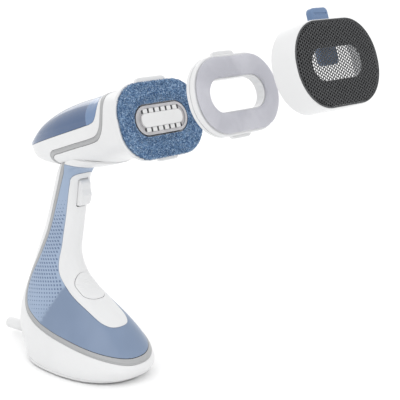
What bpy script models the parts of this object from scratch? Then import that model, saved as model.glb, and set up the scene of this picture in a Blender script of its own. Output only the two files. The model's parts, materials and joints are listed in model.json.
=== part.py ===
"""Handheld garment steamer that stands on its own foot, with three slip-on heads.

World frame: metres, +Z up, the steam head points to +X, and the origin is the
centre of the foot on the floor. Head frame: +X along the steam axis, +Z across
it, origin at the centre of the steam face. All design sizes below are in mm.
"""
import math

import bmesh
import bpy
from mathutils import Matrix

MM = 0.001

# ---- driving dimensions, mm ----
HEAD_TILT = math.radians(18.1)
FACE_CENTRE = (120.4, 0.0, 293.5)
WALL = 2.0
SEAM = 0.4
TRIM_WIDTH = 4.6
FLOOR_GAP = 1.6
SPLIT = 11.5

# body sections: height, front edge, rear edge, half width
BODY = (
    (1.6, 70, -83, 51), (7, 80, -82, 53), (20, 85.5, -88, 53.5), (40, 72.5, -98, 49),
    (60, 52, -100, 39), (80, 23, -95, 28), (100, -3, -86.5, 21.5), (125, -14.5, -75.5, 17.5),
    (155, -9.8, -61.5, 16), (185, -5, -49, 16.5), (212, -0.8, -37.5, 18), (219, 1.2, -33.2, 19),
    (225, 6.5, -29.7, 20), (229, 19, -27, 21), (233, 38, -24.4, 22.5), (240, 62, -20, 26),
)
# head sections along the axis: place, half width, top, bottom
HEAD = (
    (-206, 2.5, 13, 10), (-203.5, 9.5, 16, -1.5), (-190, 19, 22.5, -9.5), (-167, 27, 32.5, -17),
    (-136, 33, 38.7, -23.5), (-103, 36.5, 40.8, -29), (-70, 39, 40, -31.7), (-45, 41.5, 39.2, -32.3),
    (-26, 45.5, 38, -34.3), (-12, 51.5, 36.5, -36.5),
)
# side-view courses: (forward, up) in the body's frame, then in the head's frame
BODY_STRIPE = (
    (-4, 246), (-10, 234), (-14, 223), (-19, 213), (-32, 183), (-46.5, 148), (-65, 114),
    (-77.5, 92), (-79, 76), (-67, 61), (-44, 52), (-15, 46), (18, 41), (47, 35.5), (71, 30),
    (84, 25.5), (96, 20),
)
GRIP_EDGE = (
    (22, 222.5), (3, 220.6), (-2.5, 218.2), (-6, 214.5), (-8, 208), (-10.2, 200), (-16.5, 172),
    (-23.5, 142), (-28, 117),
    (-25, 104), (-7, 88), (28, 70), (46, 61), (55, 57.6), (75, 56),
)
HEAD_STRIPE = (
    (-64, 60), (-60, 43), (-51, 37.5), (-43.5, 30), (-41, 21), (-43.5, 11), (-50, 2), (-60, -3.6),
    (-72, -4.9), (-100, -4.8), (-133, -4.8), (-147, -5), (-155, -9), (-156, -16), (-151, -25),
    (-145, -36),
)
TANK_EDGE = (
    (-230, SPLIT), (-72, SPLIT), (-64, SPLIT + 0.3), (-57, 13.5), (-52.5, 18), (-50.5, 25),
    (-52.5, 32), (-60, 38), (-74, 43), (-90, 60),
)
COLLAR_LEVEL = 231.6
WINDOW = (72.7, 31.8)
PLATE = (70.9, 30)
SLOT_PITCH = 8.2
SLOTS = 7
SLOT_HEIGHT = 9.4

COLOURS = {
    "white_plastic": ((0.86, 0.86, 0.87), 0.35, 0.0),
    "grey_trim": ((0.45, 0.46, 0.47), 0.35, 0.0),
    "blue_panel": ((0.25, 0.36, 0.58), 0.35, 0.0),
    "tank_blue": ((0.12, 0.2, 0.38), 0.12, 0.0),
    "dark_plastic": ((0.03, 0.03, 0.035), 0.5, 0.0),
    "rubber_grey": ((0.09, 0.09, 0.1), 0.75, 0.0),
    "cast_metal": ((0.6, 0.61, 0.63), 0.4, 1.0),
    "bright_steel": ((0.75, 0.76, 0.78), 0.25, 1.0),
    "copper_wire": ((0.5, 0.1, 0.06), 0.5, 0.0),
    "silicone": ((0.7, 0.68, 0.62), 0.55, 0.0),
    "circuit_green": ((0.03, 0.2, 0.08), 0.5, 0.0),
    "microfibre": ((0.1, 0.2, 0.42), 0.95, 0.0),
    "velvet": ((0.6, 0.6, 0.67), 0.95, 0.0),
    "mesh_black": ((0.02, 0.02, 0.022), 0.6, 0.0),
    "cartridge_blue": ((0.12, 0.24, 0.5), 0.4, 0.0),
}

for old in list(bpy.data.objects):
    bpy.data.objects.remove(old)
PARTS = bpy.data.collections.new("handheld_steamer")
CUTTERS = bpy.data.collections.new("cutters")
bpy.context.scene.collection.children.link(PARTS)
bpy.context.scene.collection.children.link(CUTTERS)
MATERIALS = {}


# ---- frames ----
def empty(name, place, tilt=0.0, parent=None):
    """An empty that carries parts: a place in mm and a tilt of +X towards +Z."""
    frame = bpy.data.objects.new(name, None)
    PARTS.objects.link(frame)
    frame.parent = parent
    frame.location = [value * MM for value in place]
    frame.rotation_euler = (0.0, -tilt, 0.0)
    return frame


HEAD_FRAME = empty("head_frame", FACE_CENTRE, HEAD_TILT)


# ---- curves and sections ----
def hermite(table, place):
    """Values of a table at a place, on smooth curves through its rows."""
    rows = [tuple(float(value) for value in row) for row in table]
    index = 0
    while index < len(rows) - 2 and place > rows[index + 1][0]:
        index += 1
    low, high = rows[index], rows[index + 1]
    before = rows[max(index - 1, 0)]
    after = rows[min(index + 2, len(rows) - 1)]
    span = high[0] - low[0]
    t = (place - low[0]) / span
    values = []
    for k in range(1, len(low)):
        slope_low = (high[k] - before[k]) / (high[0] - before[0]) * span
        slope_high = (after[k] - low[k]) / (after[0] - low[0]) * span
        values.append(
            (2 * t**3 - 3 * t**2 + 1) * low[k] + (t**3 - 2 * t**2 + t) * slope_low
            + (3 * t**2 - 2 * t**3) * high[k] + (t**3 - t**2) * slope_high
        )
    return values


def blend(first, second, t, t_first, t_second):
    """The point at t on the straight run from one knot to another."""
    share = (t - t_first) / (t_second - t_first)
    return tuple(a + (b - a) * share for a, b in zip(first, second))


def smooth_path(points, steps=2):
    """A centripetal Catmull-Rom curve through points, which never overshoots."""
    first = tuple(2 * a - b for a, b in zip(points[0], points[1]))
    last = tuple(2 * a - b for a, b in zip(points[-1], points[-2]))
    ends = [first, *points, last]
    path = []
    for group in zip(ends, ends[1:], ends[2:], ends[3:]):
        knots = [0.0]
        for a, b in zip(group, group[1:]):
            knots.append(knots[-1] + math.sqrt(math.dist(a, b)))
        for step in range(steps):
            t = knots[1] + (knots[2] - knots[1]) * step / steps
            level = list(group)
            for order in (1, 2, 3):
                level = [blend(level[k], level[k + 1], t, *spans(knots, order, k)) for k in range(4 - order)]
            path.append(level[0])
    path.append(tuple(points[-1]))
    return path


def spans(knots, order, k):
    """The knots that one step of the Catmull-Rom pyramid runs between."""
    if order == 1:
        return knots[k], knots[k + 1]
    if order == 2:
        return knots[k], knots[k + 2]
    return knots[1], knots[2]


def shifted(path, distance):
    """The path moved sideways, to the right of its direction of travel."""
    moved = []
    for index, point in enumerate(path):
        before = path[max(index - 1, 0)]
        after = path[min(index + 1, len(path) - 1)]
        along = (after[0] - before[0], after[1] - before[1])
        size = math.hypot(*along)
        moved.append((point[0] + along[1] / size * distance, point[1] - along[0] / size * distance))
    return moved


def superellipse(angle, power):
    """A point on a unit superellipse."""
    c, s = math.cos(angle), math.sin(angle)
    return math.copysign(abs(c) ** (2 / power), c), math.copysign(abs(s) ** (2 / power), s)


def body_ring(height, segments, inset=0.0):
    """The body's outline at a height: a soft rectangle between its front and rear edges."""
    front, rear, half = hermite(BODY, height)
    ring = []
    for index in range(segments):
        x, y = superellipse(math.tau * index / segments, 2.3)
        ring.append(((front + rear) / 2 + x * ((front - rear) / 2 - inset), y * (half - inset), height))
    return ring


def head_ring(place, segments):
    """The head's outline across its axis: two half superellipses that meet at the split."""
    half, top, bottom = hermite(HEAD, place)
    ease = min(max((place + 60) / 48, 0.0), 1.0)
    level = SPLIT * (1 - ease * ease * (3 - 2 * ease))
    power = 2.3 + 0.8 * ease
    ring = []
    for index in range(segments):
        y, z = superellipse(math.tau * index / segments, power)
        reach = top - level if z > 0 else level - bottom
        ring.append((place, -y * half, level + z * reach))
    return ring


def rounded_outline(width, height, radius, centre=(0.0, 0.0), corner=7):
    """A rounded rectangle as (across, up) points."""
    radius = min(radius, width / 2 - 0.01, height / 2 - 0.01)
    outline = []
    for quarter in range(4):
        side = math.pi / 2 * quarter
        for step in range(corner + 1):
            angle = side + math.pi / 2 * step / corner
            cx = (width / 2 - radius) * (1 if quarter in (0, 3) else -1)
            cy = (height / 2 - radius) * (1 if quarter in (0, 1) else -1)
            outline.append((centre[0] + cx + radius * math.cos(angle),
                            centre[1] + cy + radius * math.sin(angle)))
    return outline


# ---- objects ----
def add(name, bm, colour=None, parent=None):
    """Turn a bmesh in mm into a named object, or a cutter where it has no colour."""
    bmesh.ops.scale(bm, vec=(MM, MM, MM), verts=bm.verts)
    mesh = bpy.data.meshes.new(name)
    bm.to_mesh(mesh)
    bm.free()
    part = bpy.data.objects.new(name, mesh)
    part.parent = parent
    finish(part, colour)
    return part


def finish(part, colour):
    """Link an object and give it its material."""
    if colour is None:
        CUTTERS.objects.link(part)
        part.display_type = "WIRE"
        part.hide_render = True
        return
    PARTS.objects.link(part)
    if colour not in MATERIALS:
        material = bpy.data.materials.new(colour)
        material.use_nodes = True
        shader = material.node_tree.nodes["Principled BSDF"]
        rgb, roughness, metallic = COLOURS[colour]
        shader.inputs["Base Color"].default_value = (*rgb, 1.0)
        shader.inputs["Roughness"].default_value = roughness
        shader.inputs["Metallic"].default_value = metallic
        MATERIALS[colour] = material
    part.data.materials.append(MATERIALS[colour])


def loft(rings, caps=True):
    """A skin through rings of equal count."""
    bm = bmesh.new()
    rows = [[bm.verts.new(point) for point in ring] for ring in rings]
    count = len(rows[0])
    for lower, upper in zip(rows, rows[1:]):
        for i in range(count):
            j = (i + 1) % count
            bm.faces.new((lower[i], lower[j], upper[j], upper[i]))
    if caps:
        bm.faces.new(rows[0])
        bm.faces.new(rows[-1])
    bmesh.ops.recalc_face_normals(bm, faces=bm.faces)
    if bm.calc_volume(signed=True) < 0:
        bmesh.ops.reverse_faces(bm, faces=bm.faces)
    return bm


def slab(outline, low, high, axis="x"):
    """An outline (across, up) extruded along the head's axis, or a side view along Y."""
    rings = []
    for level in (low, high):
        if axis == "x":
            rings.append([(level, across, up) for across, up in outline])
        elif axis == "y":
            rings.append([(forward, level, up) for forward, up in outline])
        else:
            rings.append([(forward, across, level) for forward, across in outline])
    return loft(rings)


def block(low, high):
    """A box between two corners."""
    outline = [(low[0], low[2]), (high[0], low[2]), (high[0], high[2]), (low[0], high[2])]
    return slab(outline, low[1], high[1], "y")


def rod(start, end, radius, sides=16, end_radius=None):
    """A round bar or cone between two points."""
    bm = bmesh.new()
    far_radius = radius if end_radius is None else end_radius
    axis = [b - a for a, b in zip(start, end)]
    length = math.sqrt(sum(value * value for value in axis))
    bmesh.ops.create_cone(bm, cap_ends=True, segments=sides, radius1=radius, radius2=far_radius, depth=length)
    turn = Matrix(((0, 0, 1), (0, 1, 0), (-1, 0, 0))).to_4x4() if abs(axis[0]) > 0.9 * length else Matrix()
    if abs(axis[1]) > 0.9 * length:
        turn = Matrix.Rotation(-math.pi / 2, 4, "X")
    if sum(axis) < 0:
        turn = turn @ Matrix.Rotation(math.pi, 4, "X")
    middle = Matrix.Translation([(a + b) / 2 for a, b in zip(start, end)])
    bmesh.ops.transform(bm, matrix=middle @ turn, verts=bm.verts)
    return bm


def turned(name, profile, colour, parent, place, sides=24):
    """A turned part: a profile of (radius, along) on an axis that points along +X."""
    bm = bmesh.new()
    points = [bm.verts.new((radius, 0.0, along)) for radius, along in profile]
    for first, second in zip(points, points[1:] + points[:1]):
        bm.edges.new((first, second))
    part = add(name, bm, colour, parent)
    part.location = [value * MM for value in place]
    part.rotation_euler = (0.0, math.pi / 2, 0.0)
    screw = part.modifiers.new("turn", "SCREW")
    screw.axis = "Z"
    screw.steps = sides
    screw.render_steps = sides
    screw.use_merge_vertices = True
    screw.merge_threshold = 0.00001
    return part


def wire(name, points, radius, colour, parent=None, steps=3):
    """A round wire or hose through points, as a mesh with closed ends."""
    curve = bpy.data.curves.new(name, "CURVE")
    curve.dimensions = "3D"
    curve.bevel_depth = radius * MM
    curve.bevel_resolution = 1
    curve.use_fill_caps = True
    spline = curve.splines.new("POLY")
    path = smooth_path(points, steps)
    spline.points.add(len(path) - 1)
    for target, point in zip(spline.points, path):
        target.co = (*[value * MM for value in point], 1.0)
    guide = bpy.data.objects.new(name + "_guide", curve)
    PARTS.objects.link(guide)
    evaluated = guide.evaluated_get(bpy.context.evaluated_depsgraph_get())
    mesh = bpy.data.meshes.new_from_object(evaluated)
    bpy.data.objects.remove(guide)
    bm = bmesh.new()
    bm.from_mesh(mesh)
    bmesh.ops.remove_doubles(bm, verts=bm.verts, dist=0.00001)
    bm.to_mesh(mesh)
    bm.free()
    part = bpy.data.objects.new(name, mesh)
    part.parent = parent
    finish(part, colour)
    return part


def shell_piece(name, skin, colour, parent=None):
    """A piece of a hollow casing: it shares the casing's skin and has the wall's thickness."""
    piece = bpy.data.objects.new(name, skin)
    piece.parent = parent
    finish(piece, None if colour is None else colour)
    wall = piece.modifiers.new("wall", "SOLIDIFY")
    wall.thickness = WALL * MM
    wall.offset = -1.0
    wall.use_even_offset = True
    return piece


def carve(part, operation, *tools):
    """Cut, keep or join with other objects."""
    for tool in tools:
        step = part.modifiers.new(tool.name, "BOOLEAN")
        step.object = tool
        step.operation = operation
    return part


def soften(part, width, segments=2):
    """Round the edges that are sharper than 40 degrees."""
    edge = part.modifiers.new("edge", "BEVEL")
    edge.width = width * MM
    edge.segments = segments
    edge.limit_method = "ANGLE"
    edge.angle_limit = math.radians(40)
    return part


def scaled_ring(ring, distance):
    """A ring about its own centre, grown by a distance."""
    centre = [sum(point[k] for point in ring) / len(ring) for k in range(3)]
    grown = []
    for point in ring:
        arm = [point[k] - centre[k] for k in range(3)]
        size = math.sqrt(sum(value * value for value in arm))
        grown.append(tuple(centre[k] + arm[k] * (size + distance) / size for k in range(3)))
    return grown


# ---- the two hulls and the lines that divide them ----
SIDES = 24
BODY_LEVELS = (1.6, 7, 20, 36, 52, 68, 84, 102, 124, 155, 190, 212, 219, 225, 229, 233, 240)
HEAD_PLACES = (-206, -204, -198, -186, -168, -142, -110, -78, -52, -33, -20, -12)

body_skin = add("body_skin", loft([body_ring(level, SIDES) for level in BODY_LEVELS], caps=False)).data
head_hull_rings = [head_ring(place, SIDES) for place in HEAD_PLACES]
head_bm = loft(head_hull_rings)
for cap in [face for face in head_bm.faces if len(face.verts) == SIDES]:
    if cap.calc_center_median().x > -20:
        bmesh.ops.delete(head_bm, geom=[cap], context="FACES_ONLY")
head_skin = add("head_skin", head_bm, None, HEAD_FRAME).data

head_solid = add("head_solid", loft([scaled_ring(ring, SEAM) for ring in head_hull_rings]), None, HEAD_FRAME)
head_room = add("head_room", loft([scaled_ring(ring, -WALL - 0.6) for ring in head_hull_rings[3:]]),
                None, HEAD_FRAME)
tank_room = add("tank_room", loft([scaled_ring(ring, -WALL) for ring in head_hull_rings[3:]]), None, HEAD_FRAME)
neck_room = add("neck_room", loft([body_ring(level, SIDES, 4.0) for level in (205, 215, 225, 229, 233, 240)]))

stripe = smooth_path(BODY_STRIPE)
grip_edge = smooth_path(GRIP_EDGE)
head_stripe = smooth_path(HEAD_STRIPE)
tank_edge = smooth_path(TANK_EDGE)
HALF_BAND = TRIM_WIDTH / 2


def side_cutter(name, outline, parent=None, reach=80.0):
    """A prism across the object, from a side-view outline."""
    return add(name, slab(outline, -reach, reach, "y"), None, parent)


# a path runs with the front on its left, so a positive shift goes to the rear
front_corners = [(200, 20), (200, 246)]
ahead = side_cutter("ahead_of_stripe", shifted(stripe, HALF_BAND + SEAM) + front_corners)
ahead_inner = side_cutter("ahead_of_trim", shifted(stripe, -HALF_BAND - SEAM) + front_corners)
band = side_cutter("stripe_band", shifted(stripe, HALF_BAND) + shifted(stripe, -HALF_BAND)[::-1])
grip_hole = side_cutter("grip_hole", shifted(grip_edge, SEAM) + [(200, 56), (200, 222.5)])
grip_room = side_cutter("grip_room", grip_edge + [(200, 56), (200, 222.5)])

above_line = add("above_collar_line", block((-60, -80, COLLAR_LEVEL), (200, 80, 260)))

head_corners = [(80, -36), (80, 60)]
head_ahead = side_cutter("ahead_of_head_stripe", shifted(head_stripe, HALF_BAND + SEAM) + head_corners, HEAD_FRAME)
head_ahead_inner = side_cutter("ahead_of_head_trim", shifted(head_stripe, -HALF_BAND - SEAM) + head_corners,
                               HEAD_FRAME)
head_band = side_cutter("head_band", shifted(head_stripe, HALF_BAND) + shifted(head_stripe, -HALF_BAND)[::-1],
                        HEAD_FRAME)
tank_corner = [(-230, 60)]
tank_space = side_cutter("tank_space", tank_edge + tank_corner, HEAD_FRAME)
tank_clear = side_cutter("tank_clear", shifted(tank_edge, SEAM) + tank_corner, HEAD_FRAME)


# ---- casings ----
def body_casings():
    """The white back and base, the blue side panel, its collar, the white grip and the grey trim."""
    back = shell_piece("rear_shell", body_skin, "white_plastic")
    under_foot = add("under_foot", block((-150, -80, -20), (150, 80, FLOOR_GAP)))
    carve(back, "DIFFERENCE", ahead, head_solid, under_foot)
    panel = shell_piece("side_panel", body_skin, "blue_panel")
    carve(panel, "INTERSECT", ahead_inner)
    over = add("over_panel", block((-60, -80, COLLAR_LEVEL - SEAM), (200, 80, 260)))
    carve(panel, "DIFFERENCE", grip_hole, head_solid, over)
    collar = shell_piece("neck_collar", body_skin, "white_plastic")
    carve(collar, "INTERSECT", ahead_inner, above_line)
    carve(collar, "DIFFERENCE", head_solid)
    trim = shell_piece("body_trim", body_skin, "grey_trim")
    carve(trim, "INTERSECT", band)
    carve(trim, "DIFFERENCE", head_solid)
    grip = shell_piece("front_grip", body_skin, "white_plastic")
    carve(grip, "INTERSECT", grip_room)
    return back, grip


def head_casings():
    """The cradle under the tank, the barrel, and the grey trim between them."""
    cradle = shell_piece("tank_cradle", head_skin, "white_plastic", HEAD_FRAME)
    carve(cradle, "DIFFERENCE", head_ahead, tank_clear, neck_room)
    trim = shell_piece("head_trim", head_skin, "grey_trim", HEAD_FRAME)
    carve(trim, "INTERSECT", head_band)
    carve(trim, "DIFFERENCE", neck_room)
    barrel = shell_piece("barrel_housing", head_skin, "white_plastic", HEAD_FRAME)
    carve(barrel, "INTERSECT", head_ahead_inner)
    carve(barrel, "DIFFERENCE", neck_room)


# ---- base: cover, screws, feet, chassis, electronics, cord entry ----
SCREW_PLACES = ((48, 26), (48, -26), (-52, 28), (-52, -28))
FOOT_PLACES = ((0, 0), (58, 0), (0, 40), (0, -40), (-68, 0))
CORD_LEVEL = 17.0
CORD_DROP = math.radians(4)


def base_parts(back):
    """What closes and fills the foot."""
    cover = add("base_plate", loft([body_ring(level, SIDES, WALL + 3.2) for level in (1.6, 3.6)]), "white_plastic")
    frame = add("base_frame", block((-60, -30, 15), (52, 30, 17)), "dark_plastic")
    for index, (x, y) in enumerate(SCREW_PLACES):
        post = add(f"post_{index}", rod((x, y, 4.0), (x, y, 16.5), 4.2, 12))
        bore = add(f"bore_{index}", rod((x, y, 1.0), (x, y, 14.0), 1.9, 10))
        head_hole = add(f"head_hole_{index}", rod((x, y, 1.0), (x, y, 2.9), 3.3, 12))
        carve(frame, "UNION", post)
        carve(frame, "DIFFERENCE", bore)
        carve(cover, "DIFFERENCE", bore, head_hole)
        rings = [(2.9, 1.9), (2.9, 2.6), (1.5, 2.6), (1.5, 12.0)]
        skin = [[(x + r * math.cos(math.tau * k / 10), y + r * math.sin(math.tau * k / 10), z)
                 for k in range(10)] for r, z in rings]
        add(f"base_screw_{index + 1}", loft(skin), "bright_steel")
    for index, (x, y) in enumerate(FOOT_PLACES):
        foot = rod((x, y, 0.0), (x, y, FLOOR_GAP - 0.3), 7.5, 16)
        add(f"rubber_foot_{index + 1}", foot, "rubber_grey")
    add("control_board", block((-46, -24, 17.4), (40, 24, 19.0)), "circuit_green")
    transformer = add("board_transformer", block((-34, -14, 19.4), (-8, 14, 38)), "copper_wire")
    soften(transformer, 1.5, 1)
    for index, x in enumerate((2, 20)):
        add(f"board_relay_{index + 1}", block((x, -16, 19.4), (x + 12, 4, 33)), "dark_plastic")
    add("board_capacitor", rod((10, 14, 19.4), (10, 14, 34), 5, 12), "dark_plastic")

    entry = empty("cord_entry", (-87.5, 0, CORD_LEVEL), CORD_DROP)
    hole = add("cord_hole", rod((-14, 0, 0), (14, 0, 0), 7.4, 16), None, entry)
    carve(back, "DIFFERENCE", hole)
    gland = [(6.9, 6), (6.9, -5.2), (8.6, -5.2), (8.6, -9.5), (3.9, -9.5), (3.9, 6)]
    turned("cord_gland", gland, "white_plastic", entry, (0, 0, 0), 16)
    boot = [(7.4, -9.9), (7.4, -15), (5.9, -15.6), (5.9, -17.4), (7.2, -18), (7.1, -24), (5.7, -24.6),
            (5.7, -26.4), (6.9, -27), (6.4, -58), (3.7, -58), (3.7, -9.9)]
    turned("strain_relief", boot, "white_plastic", entry, (0, 0, 0), 16)
    wire("wire_harness", [(-40, 12, 22), (-52, 10, 34), (-58, 4, 52), (-60, 0, 74), (-52, 0, 100), (-45, 0, 122),
                          (-41, 0, 150), (-36, 0, 180), (-29, 0, 205), (-19, 0, 226), (-14, 0, 244)],
         2.4, "copper_wire")


# ---- handle: trigger and push button ----
TRIGGER_PIVOT = (-13.0, 0.0, 206.0)
BUTTON_CENTRE = (6.6, 0.0, 93.6)
BUTTON_SLOPE = math.radians(40)
BUTTON_SIZE = (36.3, 28.8)


def trigger_parts(grip):
    """The steam trigger, which swings about a pin behind its top end."""
    pivot = empty("trigger_pivot", TRIGGER_PIVOT)
    front = [(10.5, 7.2), (14.8, 4.5), (15.6, 0), (15.3, -4), (16.9, -10), (16.2, -16), (13.5, -20.3),
             (11, -22.6)]
    outline = smooth_path(front, 2) + [(-1, -23), (-1, -8), (-5, -4), (-5, 3.5), (4, 4.5), (8, 7.2)]
    trigger = add("trigger", slab(outline, -6.6, 6.6, "y"), "white_plastic", pivot)
    carve(trigger, "DIFFERENCE", add("trigger_bore", rod((0, -12, 0), (0, 12, 0), 1.9, 12), None, pivot))
    soften(trigger, 1.4, 2)
    opening = rounded_outline(32.4, 14.2, 1.6, (-8.2, 0.0), 3)
    window = add("trigger_window", slab([(up, across) for across, up in opening], -2, 30), None, pivot)
    carve(grip, "DIFFERENCE", window)
    add("trigger_pin", rod((0, -11, 0), (0, 11, 0), 1.6, 12), "bright_steel", pivot)
    coil = []
    turns, radius, steps = 4, 2.6, 6
    for step in range(turns * steps + 1):
        angle = math.tau * step / steps
        coil.append((-4.0 - 9 * step / (turns * steps), radius * math.cos(angle), -20 + radius * math.sin(angle)))
    wire("trigger_spring", coil, 0.5, "bright_steel", pivot, 1)
    add("trigger_microswitch", block((-14, -4, -16), (-4, 4, -9)), "dark_plastic", pivot)


def button_parts(grip):
    """The push button on the slope above the foot, cut to the grip's own curve."""
    slope = empty("button_slope", BUTTON_CENTRE, -BUTTON_SLOPE)
    oval = rounded_outline(BUTTON_SIZE[0], BUTTON_SIZE[1], 13)
    clear = rounded_outline(BUTTON_SIZE[0] + 1.0, BUTTON_SIZE[1] + 1.0, 13.5)
    well = add("button_well", slab(clear, -10, 10, "z"), None, slope)
    carve(grip, "DIFFERENCE", well)
    levels = (62, 78, 94, 112, 135)
    proud = add("button_outer", loft([body_ring(level, SIDES, -0.7) for level in levels]))
    under = add("button_inner", loft([body_ring(level, SIDES, 2.6) for level in levels]))
    button = add("power_button", slab(oval, -10, 10, "z"), "white_plastic", slope)
    carve(button, "INTERSECT", proud)
    carve(button, "DIFFERENCE", under)
    switch = add("button_switch", block((-7, -6, -15), (7, 6, -7.5)), "dark_plastic", slope)
    soften(switch, 0.8, 1)


# ---- head: steam path ----
def stadium(width, height, grow=0.0, centre=(0.0, 0.0)):
    """A slot-shaped outline, grown evenly."""
    return rounded_outline(width + grow, height + grow, (height + grow) / 2, centre, 6)


def steam_parts():
    """From the face back to the pump: plate, gasket, chamber, sensors, hoses."""
    bezel = add("front_bezel", slab(rounded_outline(103, 73, 31), -10.4, -8.0), "white_plastic", HEAD_FRAME)
    carve(bezel, "DIFFERENCE", add("bezel_window", slab(stadium(68, 27), -14, -6), None, HEAD_FRAME))
    plate = add("steam_plate", slab(stadium(*PLATE), -7.6, 0.3), "cast_metal", HEAD_FRAME)
    carve(plate, "DIFFERENCE", add("plate_back", slab(stadium(*PLATE, -5), -9, -2.2), None, HEAD_FRAME))
    carve(plate, "DIFFERENCE", add("plate_front", slab(stadium(*PLATE, -7), -0.8, 2), None, HEAD_FRAME))
    for row in (-1, 1):
        for index in range(SLOTS):
            across = (index - (SLOTS - 1) / 2) * SLOT_PITCH
            slot = block((-4, across - 0.9, row * SLOT_HEIGHT - 1.7), (2, across + 0.9, row * SLOT_HEIGHT + 1.7))
            carve(plate, "DIFFERENCE", add(f"slot_{row}_{index}", slot, None, HEAD_FRAME))
    insert = add("plate_insert", slab(rounded_outline(56, 14, 6, corner=4), -0.5, 1.2), "white_plastic", HEAD_FRAME)
    soften(insert, 0.5, 1)
    gasket = add("chamber_gasket", slab(stadium(67, 26), -14.6, -7.9), "silicone", HEAD_FRAME)
    carve(gasket, "DIFFERENCE", add("gasket_bore", slab(stadium(67, 26, -6), -16, -6), None, HEAD_FRAME))
    chamber = add("steam_chamber", slab(rounded_outline(66, 30, 9, corner=3), -38, -15), "cast_metal", HEAD_FRAME)
    soften(chamber, 1.5, 1)
    nozzle = add("chamber_inlet", rod((-42.5, 0, -6), (-37, 0, -6), 2.6, 12), None, HEAD_FRAME)
    carve(chamber, "UNION", nozzle)
    add("heater_terminals", rod((-30, -38, 0), (-30, -33.5, 0), 3, 12), "bright_steel", HEAD_FRAME)
    add("thermostat", rod((-27, 0, 15.4), (-27, 0, 22), 8, 16), "bright_steel", HEAD_FRAME)
    add("thermal_fuse", rod((-27, 12, 18.3), (-27, 26, 18.3), 2.3, 10), "silicone", HEAD_FRAME)
    pump = add("pump", rod((-117, 0, -8), (-75, 0, -8), 12.5, 20), "dark_plastic", HEAD_FRAME)
    for index, ends in enumerate((((-122, 0, -8), (-116, 0, -8)), ((-76, 0, -8), (-70, 0, -8)))):
        carve(pump, "UNION", add(f"pump_port_{index}", rod(*ends, 2.6, 12), None, HEAD_FRAME))
    bracket = add("pump_bracket", block((-101, -16, -22.5), (-91, 16, -12)), "bright_steel", HEAD_FRAME)
    carve(bracket, "DIFFERENCE", add("pump_seat", rod((-104, 0, -8), (-88, 0, -8), 12.8, 20), None, HEAD_FRAME))
    wire("outlet_hose", [(-69.7, 0, -8), (-63, 0, -8), (-56, 0, -8), (-49, 0, -6.4), (-43, 0, -6)], 2.6,
         "silicone", HEAD_FRAME)
    wire("inlet_hose", [(-43.5, -14, 8.5), (-43.8, -14.5, 3), (-48, -16, -4), (-60, -19, -8), (-80, -20.5, -9),
                        (-100, -20.5, -9), (-118, -18, -8), (-129, -11, -8), (-131, -4, -8), (-127.5, 0, -8),
                        (-122.4, 0, -8)], 2.2, "silicone", HEAD_FRAME)


# ---- head: water tank ----
VALVE = (-14.0, 20.0)
FILLER = (15.0, 20.0)


def tank_parts():
    """The tank slides off backwards over a deck; its valve and filler face forwards."""
    deck = add("tank_deck", block((-188, -60, 8.6), (-47, 60, 10.4)), "white_plastic", HEAD_FRAME)
    bulkhead = add("bulkhead", block((-48.4, -60, 8.6), (-46.8, 60, 60)), None, HEAD_FRAME)
    seat_hole = add("seat_hole", rod((-60, *VALVE), (-40, *VALVE), 5.2, 16), None, HEAD_FRAME)
    carve(deck, "UNION", bulkhead)
    carve(deck, "INTERSECT", head_room)
    carve(deck, "DIFFERENCE", seat_hole)
    tank = add("water_tank", loft(head_hull_rings), "tank_blue", HEAD_FRAME)
    cavity = add("tank_cavity", slab(shifted(tank_edge, -WALL)[1:] + [(-200, 60), (-200, SPLIT + WALL)],
                                     -80, 80, "y"), None, HEAD_FRAME)
    carve(cavity, "INTERSECT", tank_room)
    carve(tank, "INTERSECT", tank_space)
    carve(tank, "DIFFERENCE", cavity)
    carve(tank, "DIFFERENCE", add("valve_hole", rod((-64, *VALVE), (-44, *VALVE), 4.7, 16), None, HEAD_FRAME))
    carve(tank, "DIFFERENCE", add("filler_hole", rod((-64, *FILLER), (-44, *FILLER), 6.9, 16), None, HEAD_FRAME))
    add("tank_valve", rod((-62, *VALVE), (-45, *VALVE), 4.3, 16), "white_plastic", HEAD_FRAME)
    plug = add("filler_plug", rod((-60, *FILLER), (-50.5, *FILLER), 6.5, 16), "rubber_grey", HEAD_FRAME)
    soften(plug, 0.8, 1)
    seat = [(8, 4.6), (8, 0), (5, 0), (5, 4.6)]
    turned("valve_seal", seat, "silicone", HEAD_FRAME, (-46.4, *VALVE), 16)


# ---- slip-on heads ----
def ring_plate(name, colour, outline, window, low, high, parent=HEAD_FRAME):
    """A plate with a window, between two places on the head's axis."""
    part = add(name, slab(outline, low, high), colour, parent)
    hole = add(name + "_window", slab(window, low - 5, high + 5), None, parent)
    return carve(part, "DIFFERENCE", hole)


def tab(name, root, tip, width, low, high, parent=HEAD_FRAME):
    """A finger tab with sloping sides that stands out of a frame's edge."""
    lean = (tip - root) * 0.22
    across = (width / 2, width / 2 - abs(lean), width / 2 - 2 * abs(lean) - 1.2)
    levels = (root, root + (tip - root) * 0.7, tip)
    outline = list(zip(across, levels)) + [(-a, b) for a, b in zip(across[::-1], levels[::-1])]
    return add(name, slab(outline, low, high), None, parent)


RING_RISE = 1.7
CAP_RISE = 2.0
RING_FRONT = 108.7
CAP_FRONT = 227.5


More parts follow.
